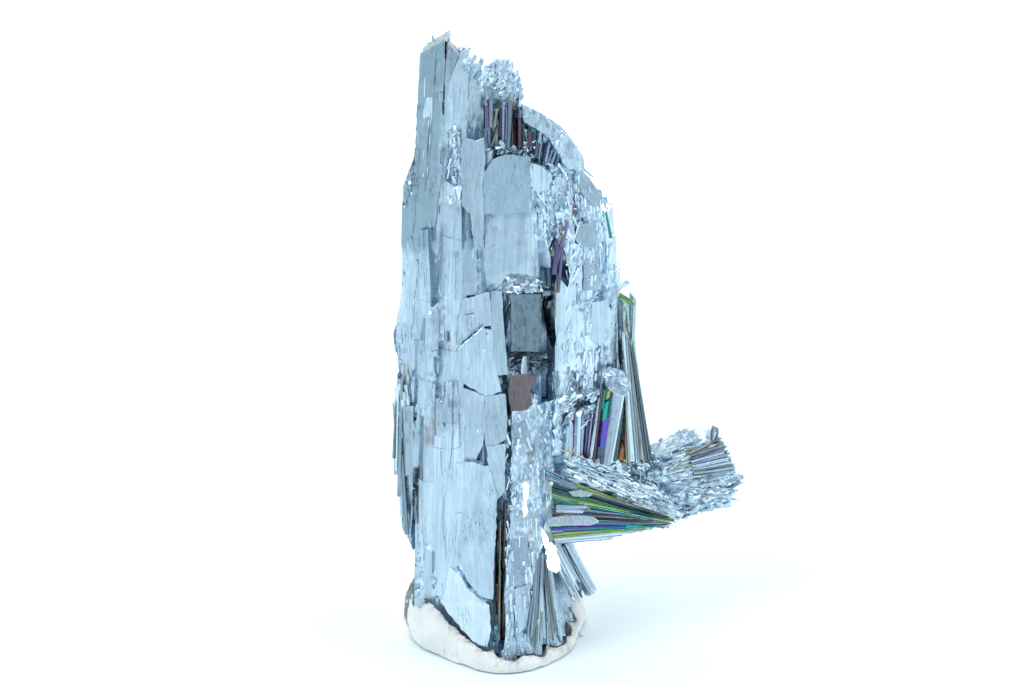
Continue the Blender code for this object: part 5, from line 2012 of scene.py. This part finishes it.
# Cracks and edges: pixels along each, its width and its look. The BRIGHT lines paint highlights
# along lit edges.
HAIRLINES: tuple[tuple[tuple[Pixel, ...], float, Look], ...] = (
    (((430, 112), (428, 140), (427, 172)), 0.15, Look.DARK),
    (((424, 228), (423, 258), (425, 288)), 0.15, Look.DARK),
    (((436, 62), (435, 76), (434, 90)), 0.12, Look.DARK),
    (((419, 150), (416, 196), (413, 236)), 0.12, Look.SHADED),
    (((448, 36), (446, 60), (444, 85)), 0.26, Look.DARK),
    (((461, 50), (455, 66), (448, 83)), 0.30, Look.SHADED),
    (((430, 130), (427, 160), (424.6, 192)), 0.22, Look.SHADED),
    (((446, 150), (442, 175), (438, 201), (433.6, 240)), 0.26, Look.SHADED),
    (((441.6, 234), (452, 239), (465, 241), (466, 229), (473, 228)), 0.16, Look.DARK),
    (((486, 216), (484.5, 247)), 0.20, Look.DARK),
    (((516.6, 187), (516.6, 205)), 0.16, Look.DARK),
    (((470, 77), (468, 99)), 0.22, Look.DARK),
    (((466, 116), (469, 124), (473, 132)), 0.16, Look.SHADED),
    (((519, 276), (502, 285), (487, 297), (474, 311), (461, 313)), 0.24, Look.BRIGHT),
    (((519, 278), (502, 287), (487, 299), (474, 313), (461, 315)), 0.20, Look.SHADED),
    (((447, 331), (447.6, 342)), 0.34, Look.DARK),
    (((483.6, 327), (478, 342), (472, 357)), 0.55, Look.SHADED),
    (((405, 363), (404, 390), (400, 430)), 0.50, Look.BRONZE),
    (((455, 514), (463, 512), (471, 514)), 0.12, Look.DARK),
    (((450, 567.5), (461, 575.5), (469, 591), (477, 597), (487.5, 604)), 0.22, Look.SHADED),
    (((451, 570), (460, 578), (468, 593), (476, 600), (487, 607)), 0.45, Look.BRIGHT),
    (((573, 197), (575, 207), (576, 217)), 0.45, Look.DARK),
    (((618, 287), (597, 297), (577, 307)), 0.40, Look.BRIGHT),
    (((433, 406), (433, 447)), 0.14, Look.SHADED),
    (((459, 406), (460, 447)), 0.14, Look.SHADED),
    (((497, 494), (496, 525), (494.6, 560), (493, 603)), 0.30, Look.DARK),
    (((455, 252), (455, 300)), 0.14, Look.SHADED),
    (((519, 284), (512, 297), (504.5, 311)), 0.30, Look.BRIGHT),
    (((507, 368), (520, 360), (540, 355)), 0.30, Look.BRIGHT),
    (((423, 430), (421, 500), (424, 560)), 0.16, Look.SHADED),
    (((470, 466), (472, 520), (469, 580)), 0.16, Look.SHADED),
    (((441, 450), (443, 520), (446, 560)), 0.12, Look.SHADED),
    (((420, 300), (430, 303), (441, 301)), 0.14, Look.DARK),
    (((432, 352), (443, 349), (452, 351)), 0.14, Look.DARK),
    (((433, 447), (446, 449), (460, 448)), 0.14, Look.DARK),
    (((457, 462), (472, 466), (488, 463)), 0.14, Look.DARK),
    (((418, 268), (416, 290), (412, 330)), 0.16, Look.SHADED),
    (((440, 310), (438, 350), (441, 400)), 0.16, Look.SHADED),
    (((452, 380), (453, 430), (450, 470)), 0.16, Look.DARK),
    (((480, 500), (481, 540), (479, 585)), 0.12, Look.SHADED),
    (((436, 60), (433, 110), (428, 180)), 0.20, Look.SHADED),
    (((455, 90), (453, 130), (449, 180)), 0.14, Look.SHADED))
CRACK_SEED = 23
CRACK_STRAY = 0.7           # pixels
CRACK_PITCH = 9.0           # pixels between a crack's bends
CRACK_WIDTHS = (0.3, 0.8)   # a sliver's share of the width given
CRACK_THICK = 0.06
CRACK_PROUD = 0.02

# Cleaved plates on the body.
BODY_PLATES = (
    Plate(((461, 146), (466, 138), (476, 141), (484, 138), (485, 160), (482, 186), (484, 214),
          (482, 246), (474, 252), (470, 214), (462, 206))),
    Plate(((484, 172), (492, 160), (506, 155), (531, 157), (532, 186), (528, 212), (508, 215),
          (483, 214), (481, 196)), look=Look.SLATE),
    Plate(((529, 163), (541, 166), (552, 176), (549, 190), (538, 194), (530, 186))),
    Plate(((456, 352), (468, 340), (482, 328), (492, 330), (493, 352), (498, 376), (502, 392),
          (484, 397), (470, 388), (457, 380))),
    Plate(((458, 318), (463, 300), (490, 292), (492, 326), (480, 328), (466, 340), (457, 346))),
    Plate(((462, 462), (476, 463), (489, 468), (497, 494), (496, 530), (494, 560), (493, 600),
          (481, 597), (470, 585), (462, 572), (460, 540), (463, 500))),
    Plate(((463, 388), (472, 391), (484, 396), (485, 422), (482, 446), (476, 462), (465, 463),
          (461, 430))),
    Plate(((485, 396), (506, 394), (508, 418), (506, 440), (497, 446), (486, 448), (483, 422))),
    Plate(((487, 447), (506, 444), (505, 492), (498, 500), (488, 478))),
    Plate(((512, 424), (530, 420), (531, 442), (514, 446))),
    Plate(((511, 540), (528, 536), (529, 580), (513, 588))),
    Plate(((577, 226), (590, 223), (599, 232), (596, 247), (583, 249), (576, 240))),
    Plate(((584, 265), (597, 263), (603, 276), (598, 290), (584, 291))),
    Plate(((592, 303), (605, 300), (613, 312), (610, 336), (600, 347), (591, 340))),
    Plate(((449, 568), (455, 571), (462, 577), (467, 588), (477, 597), (489, 605), (491, 630),
          (487, 648), (477, 646), (464, 632), (448, 614), (440, 602), (445, 588)),
          look=Look.BRIGHT),
    Plate(((514, 590), (530, 584), (533, 620), (518, 636))),
    Plate(((577, 166), (590, 178), (603, 198), (598, 208), (584, 196), (574, 180))))

# The rounded shoulder beside the niche.
SHOULDER = (
    Plate(((522, 103), (531, 108), (546, 116), (552, 124), (550, 138), (536, 128), (524, 122)),
          -2.6, (0.05, -1.0, 0.45), 5.0, broken=1.0, proud=None),
    Plate(((543, 114), (560, 125), (574, 141), (572, 154), (556, 150), (547, 134)), -2.7,
          (0.3, -1.0, 0.35), 5.0, broken=1.0, proud=None),
    Plate(((562, 134), (575, 143), (584, 158), (584, 172), (568, 169), (554, 148)), -2.9,
          (0.45, -1.0, 0.12), 5.0, broken=1.0, proud=None),
    Plate(((556, 129), (566, 134), (576, 146), (572, 160), (562, 152), (552, 140)), -3.0,
          (0.18, -1.0, 0.22), 5.0, broken=1.0, proud=None))

# The plates in the cavities, the cap of the standing crystal and the bright flakes.
CAVITY_PLATES = (
    # Painted shade: the HOLLOW finish darkens this plate inside the cavity.
    Plate(((510, 294), (541, 294), (541.5, 330), (540, 352), (511, 352)), -6.9, (0.06, -1.0, 0.0),
          0.5, Look.HOLLOW, 0.8, 0.3),
    Plate(((509.6, 377), (518.8, 374), (537, 376), (535, 384.5), (530, 390), (533, 405),
          (527, 410), (510.6, 411.5), (507.6, 390.6)), -8.6, (0.06, -1.0, 0.2), 0.5, Look.MAUVE,
          0.0, 0.3),
    Plate(((491, 292), (502.8, 291), (503.7, 321), (506.8, 353), (508.6, 375), (497, 376),
          (491, 350)), -11.2, None, 0.7, Look.STEEL, 0.0, 0.1))
STANDING_CAP = (
    Plate(((603, 369), (609.6, 366), (623, 371), (631, 385.5), (627, 396), (617, 396),
          (605.5, 385.5)), -1.0, (0.1, -1.0, 0.5), 0.8, Look.STEEL, 1.0, 1.6),)
MIRROR_FLAKES = (
    Plate(((540.5, 526), (548, 537.5), (550, 545), (546, 550), (542, 541)), -11.6,
          (-0.3, -0.73, 0.62), 0.4, Look.MIRROR, 0.0, 0.5),
    Plate(((551, 541), (555, 545), (561, 569), (556, 573), (548.6, 570), (544, 555)), -11.6,
          (-0.26, -0.75, 0.6), 0.4, Look.MIRROR, 0.0, 0.5),
    Plate(((567, 491), (580, 489), (593, 494), (588, 497), (572, 496)), -9.9,
          (-0.12, -0.92, 0.42), 0.35, Look.BRIGHT, 0.3, 0.7),
    Plate(((522, 484), (525, 481), (529, 484), (528, 498), (526, 503), (528, 512), (524, 517),
          (522, 510), (524, 500)), -11.6, (-0.3, -0.73, 0.62), 0.35, Look.MIRROR, 0.0, 0.45),
    Plate(((546, 518), (566, 515), (591, 516), (599, 522), (591, 525), (547, 526)), -10.7,
          (-0.12, -0.92, 0.42), 0.4, Look.BRIGHT, 0.3, 0.9))

# Every group of blades, sheaves and plates, in the order in which they are made.
SHEAVES = (("arm_needles", ARM_SHEAVES), ("broken_crystals", RUBBLE),
           ("lower_blades", LOWER_BLADES), ("back_needles", BACK_NEEDLES),
           ("fan_blades", FAN_SHEAVES), ("foot_needles", FOOT_SHEAVES))
BLADES = (("standing_prisms", STANDING), ("niche_prisms", NICHE),
          ("channel_blades", CHANNEL), ("side_crystals", SPRAY_TOP),
          ("crevice_slivers", CREVICE), ("edge_blades", EDGE_BLADES))
PLATES = (("cavity_plates", CAVITY_PLATES), ("body_plates", BODY_PLATES),
          ("shoulder", SHOULDER), ("standing_cap", STANDING_CAP),
          ("mirror_flakes", MIRROR_FLAKES))


def trace_hairlines(shop: BladeShop) -> None:
    """Lay each crack as short slivers that wander a little.

    Args:
        shop: the maker that collects them.
    """
    dice = random.Random(CRACK_SEED)
    for pixels, width, look in HAIRLINES:
        for start, end in zip(pixels, pixels[1:]):
            pieces = max(1, round(math.dist(start, end) / CRACK_PITCH))
            spots = [tuple(a + (b - a) * step / pieces + dice.uniform(-1, 1) * CRACK_STRAY
                           for a, b in zip(start, end)) for step in range(pieces + 1)]
            for first, last in zip(spots, spots[1:]):
                shop.add("cracks", Blade(
                    (*first, 0.0), (*last, 0.0), width * dice.uniform(*CRACK_WIDTHS),
                    CRACK_THICK, look, proud=CRACK_PROUD))


def place_blades(shop: BladeShop) -> None:
    """Add every named blade, sheaf, plate and crack.

    Args:
        shop: the maker that collects them.
    """
    for group, sheaves in SHEAVES:
        for sheaf in sheaves:
            shop.add_all(group, sheaf.blades())
    for group, blades in BLADES:
        shop.add_all(group, blades)
    trace_hairlines(shop)
    for group, plates in PLATES:
        for plate in plates:
            shop.add_plate(group, plate)


# ------------------------------------------------------------- small cleavage
@dataclass(frozen=True)
class Dressing:
    """One strewing of flakes over the skin."""

    name: str
    mask: str
    density: float
    smallest: Point
    largest: Point
    tilt: float
    spin: float
    lift: float
    look: Look
    seed: int


# The BRIGHT splinters and chips paint small glints.
DRESSINGS = (
    Dressing("long_plates", "plain", 0.010, (0.5, 2.5, 0.08), (1.6, 9.0, 0.20),
             0.02, 0.02, -0.03, Look.STEEL, 3),
    Dressing("thin_splinters", "plain", 0.08, (0.04, 0.8, 0.06), (0.13, 4.2, 0.11),
             0.05, 0.05, 0.0, Look.BRIGHT, 5),
    Dressing("chips", "torn", 0.9, (0.12, 0.6, 0.08), (0.5, 3.0, 0.22),
             0.20, 0.25, -0.05, Look.STEEL, 7),
    Dressing("bright_chips", "torn", 0.6, (0.06, 0.2, 0.06), (0.25, 1.3, 0.15),
             0.3, 0.5, -0.02, Look.BRIGHT, 9))


# The cuts round a flake of unit size: a place on each, and its normal.
FLAKE_CUTS: tuple[tuple[Point, Point], ...] = (
    ((0.36, 0.36, 0), (1.0, 0.7, 0.5)), ((-0.38, 0.3, 0), (-0.8, 1.0, 0.3)),
    ((0.3, -0.4, 0), (0.6, -1.0, 0.6)), ((0, 0, 0.34), (0.12, -0.2, 1.0)))
FLAKE_BROKEN = 0.1


def make_flake() -> bpy.types.Object:
    """Model one bevelled cleavage flake of unit size, lying flat.

    Returns:
        The flake.
    """
    deselect()
    bpy.ops.mesh.primitive_cube_add(size=1.0)
    flake = bpy.context.active_object
    flake.name = "flake_pattern"
    bpy.ops.object.mode_set(mode="EDIT")
    for place, slant in FLAKE_CUTS:
        bpy.ops.mesh.select_all(action="SELECT")
        bpy.ops.mesh.bisect(plane_co=place, plane_no=Vector(slant).normalized(),
                            use_fill=True, clear_outer=True)
    bpy.ops.mesh.select_all(action="SELECT")
    bpy.ops.transform.resize(value=(MM, MM, MM), center_override=(0, 0, 0))
    bpy.ops.object.mode_set(mode="OBJECT")
    return flake


def strew(skin: Skin, scatter: bpy.types.NodeTree, flake: bpy.types.Object,
          dressing: Dressing, material: bpy.types.Material) -> bpy.types.Object:
    """Lay one dressing of flakes over the skin.

    Args:
        skin: the crystal skin.
        scatter: the geometry group that lays flakes.
        flake: the flake to copy.
        dressing: sizes and density.
        material: the flakes' material.

    Returns:
        The joined flakes.
    """
    obj = skin.obj.copy()
    obj.data = skin.obj.data.copy()
    obj.name = dressing.name
    bpy.context.scene.collection.objects.link(obj)
    add_nodes(obj, scatter, Flake=flake, Density=dressing.density / MM ** 2,
              Seed=dressing.seed, Smallest=dressing.smallest, Largest=dressing.largest,
              Tilt=dressing.tilt, Spin=dressing.spin, Lift=dressing.lift * MM,
              Mask=dressing.mask)
    mesh = obj.data
    points = mesh_points(mesh)
    grain, _ = grain_of(points)
    paint(mesh, "grain", "FLOAT_VECTOR", grain)
    paint(mesh, "broken", "FLOAT", np.full(len(points), FLAKE_BROKEN))
    paint(mesh, "colour_and_shade", "FLOAT_COLOR", np.zeros((len(points), 4)))
    mesh.materials.clear()
    mesh.materials.append(material)
    take(obj)
    bpy.ops.object.shade_flat()
    return obj


# ----------------------------------------------------------------------- main
def settle(piece: bpy.types.Object, node: str, box: np.ndarray) -> None:
    """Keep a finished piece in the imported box, tie it to the frame, report it.

    Args:
        piece: the finished object.
        node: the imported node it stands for.
        box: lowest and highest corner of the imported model, in millimetres.
    """
    move_points(piece.data, np.clip(mesh_points(piece.data), box[0], box[1]))
    piece.data.update()
    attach(piece, "root")
    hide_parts(node)
    triangles = sum(len(face.vertices) - 2 for face in piece.data.polygons)
    LOG.info("%s: %d triangles", piece.name, triangles)


def main() -> None:
    """Build the studio and every piece."""
    logging.basicConfig(level=logging.INFO, format="%(name)s %(message)s")
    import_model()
    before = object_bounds()
    box = np.array([list(corner) for corner in before]) / MM
    Studio().build()
    eye = Eye()
    eye.build()
    groups = ShaderGroups()
    cleaver = Cleaver()
    materials = {look: finish.build(look.value, groups) for look, finish in FINISHES.items()}
    skin = Skin()
    skin.build(eye, cleaver, materials[Look.STEEL])
    settle(skin.obj, "stibnite_cluster", box)
    flake = make_flake()
    for dressing in DRESSINGS:
        laid = strew(skin, cleaver.scatter, flake, dressing, materials[dressing.look])
        settle(laid, "stibnite_cluster", box)
    bpy.data.objects.remove(flake)
    shop = BladeShop(eye, skin, materials)
    place_blades(shop)
    for piece in shop.finish():
        settle(piece, "stibnite_cluster", box)
    putty = Putty()
    putty.build(skin, PuttyFinish().build())
    settle(putty.obj, "putty_base", box)


if __name__ == "__main__":
    main()
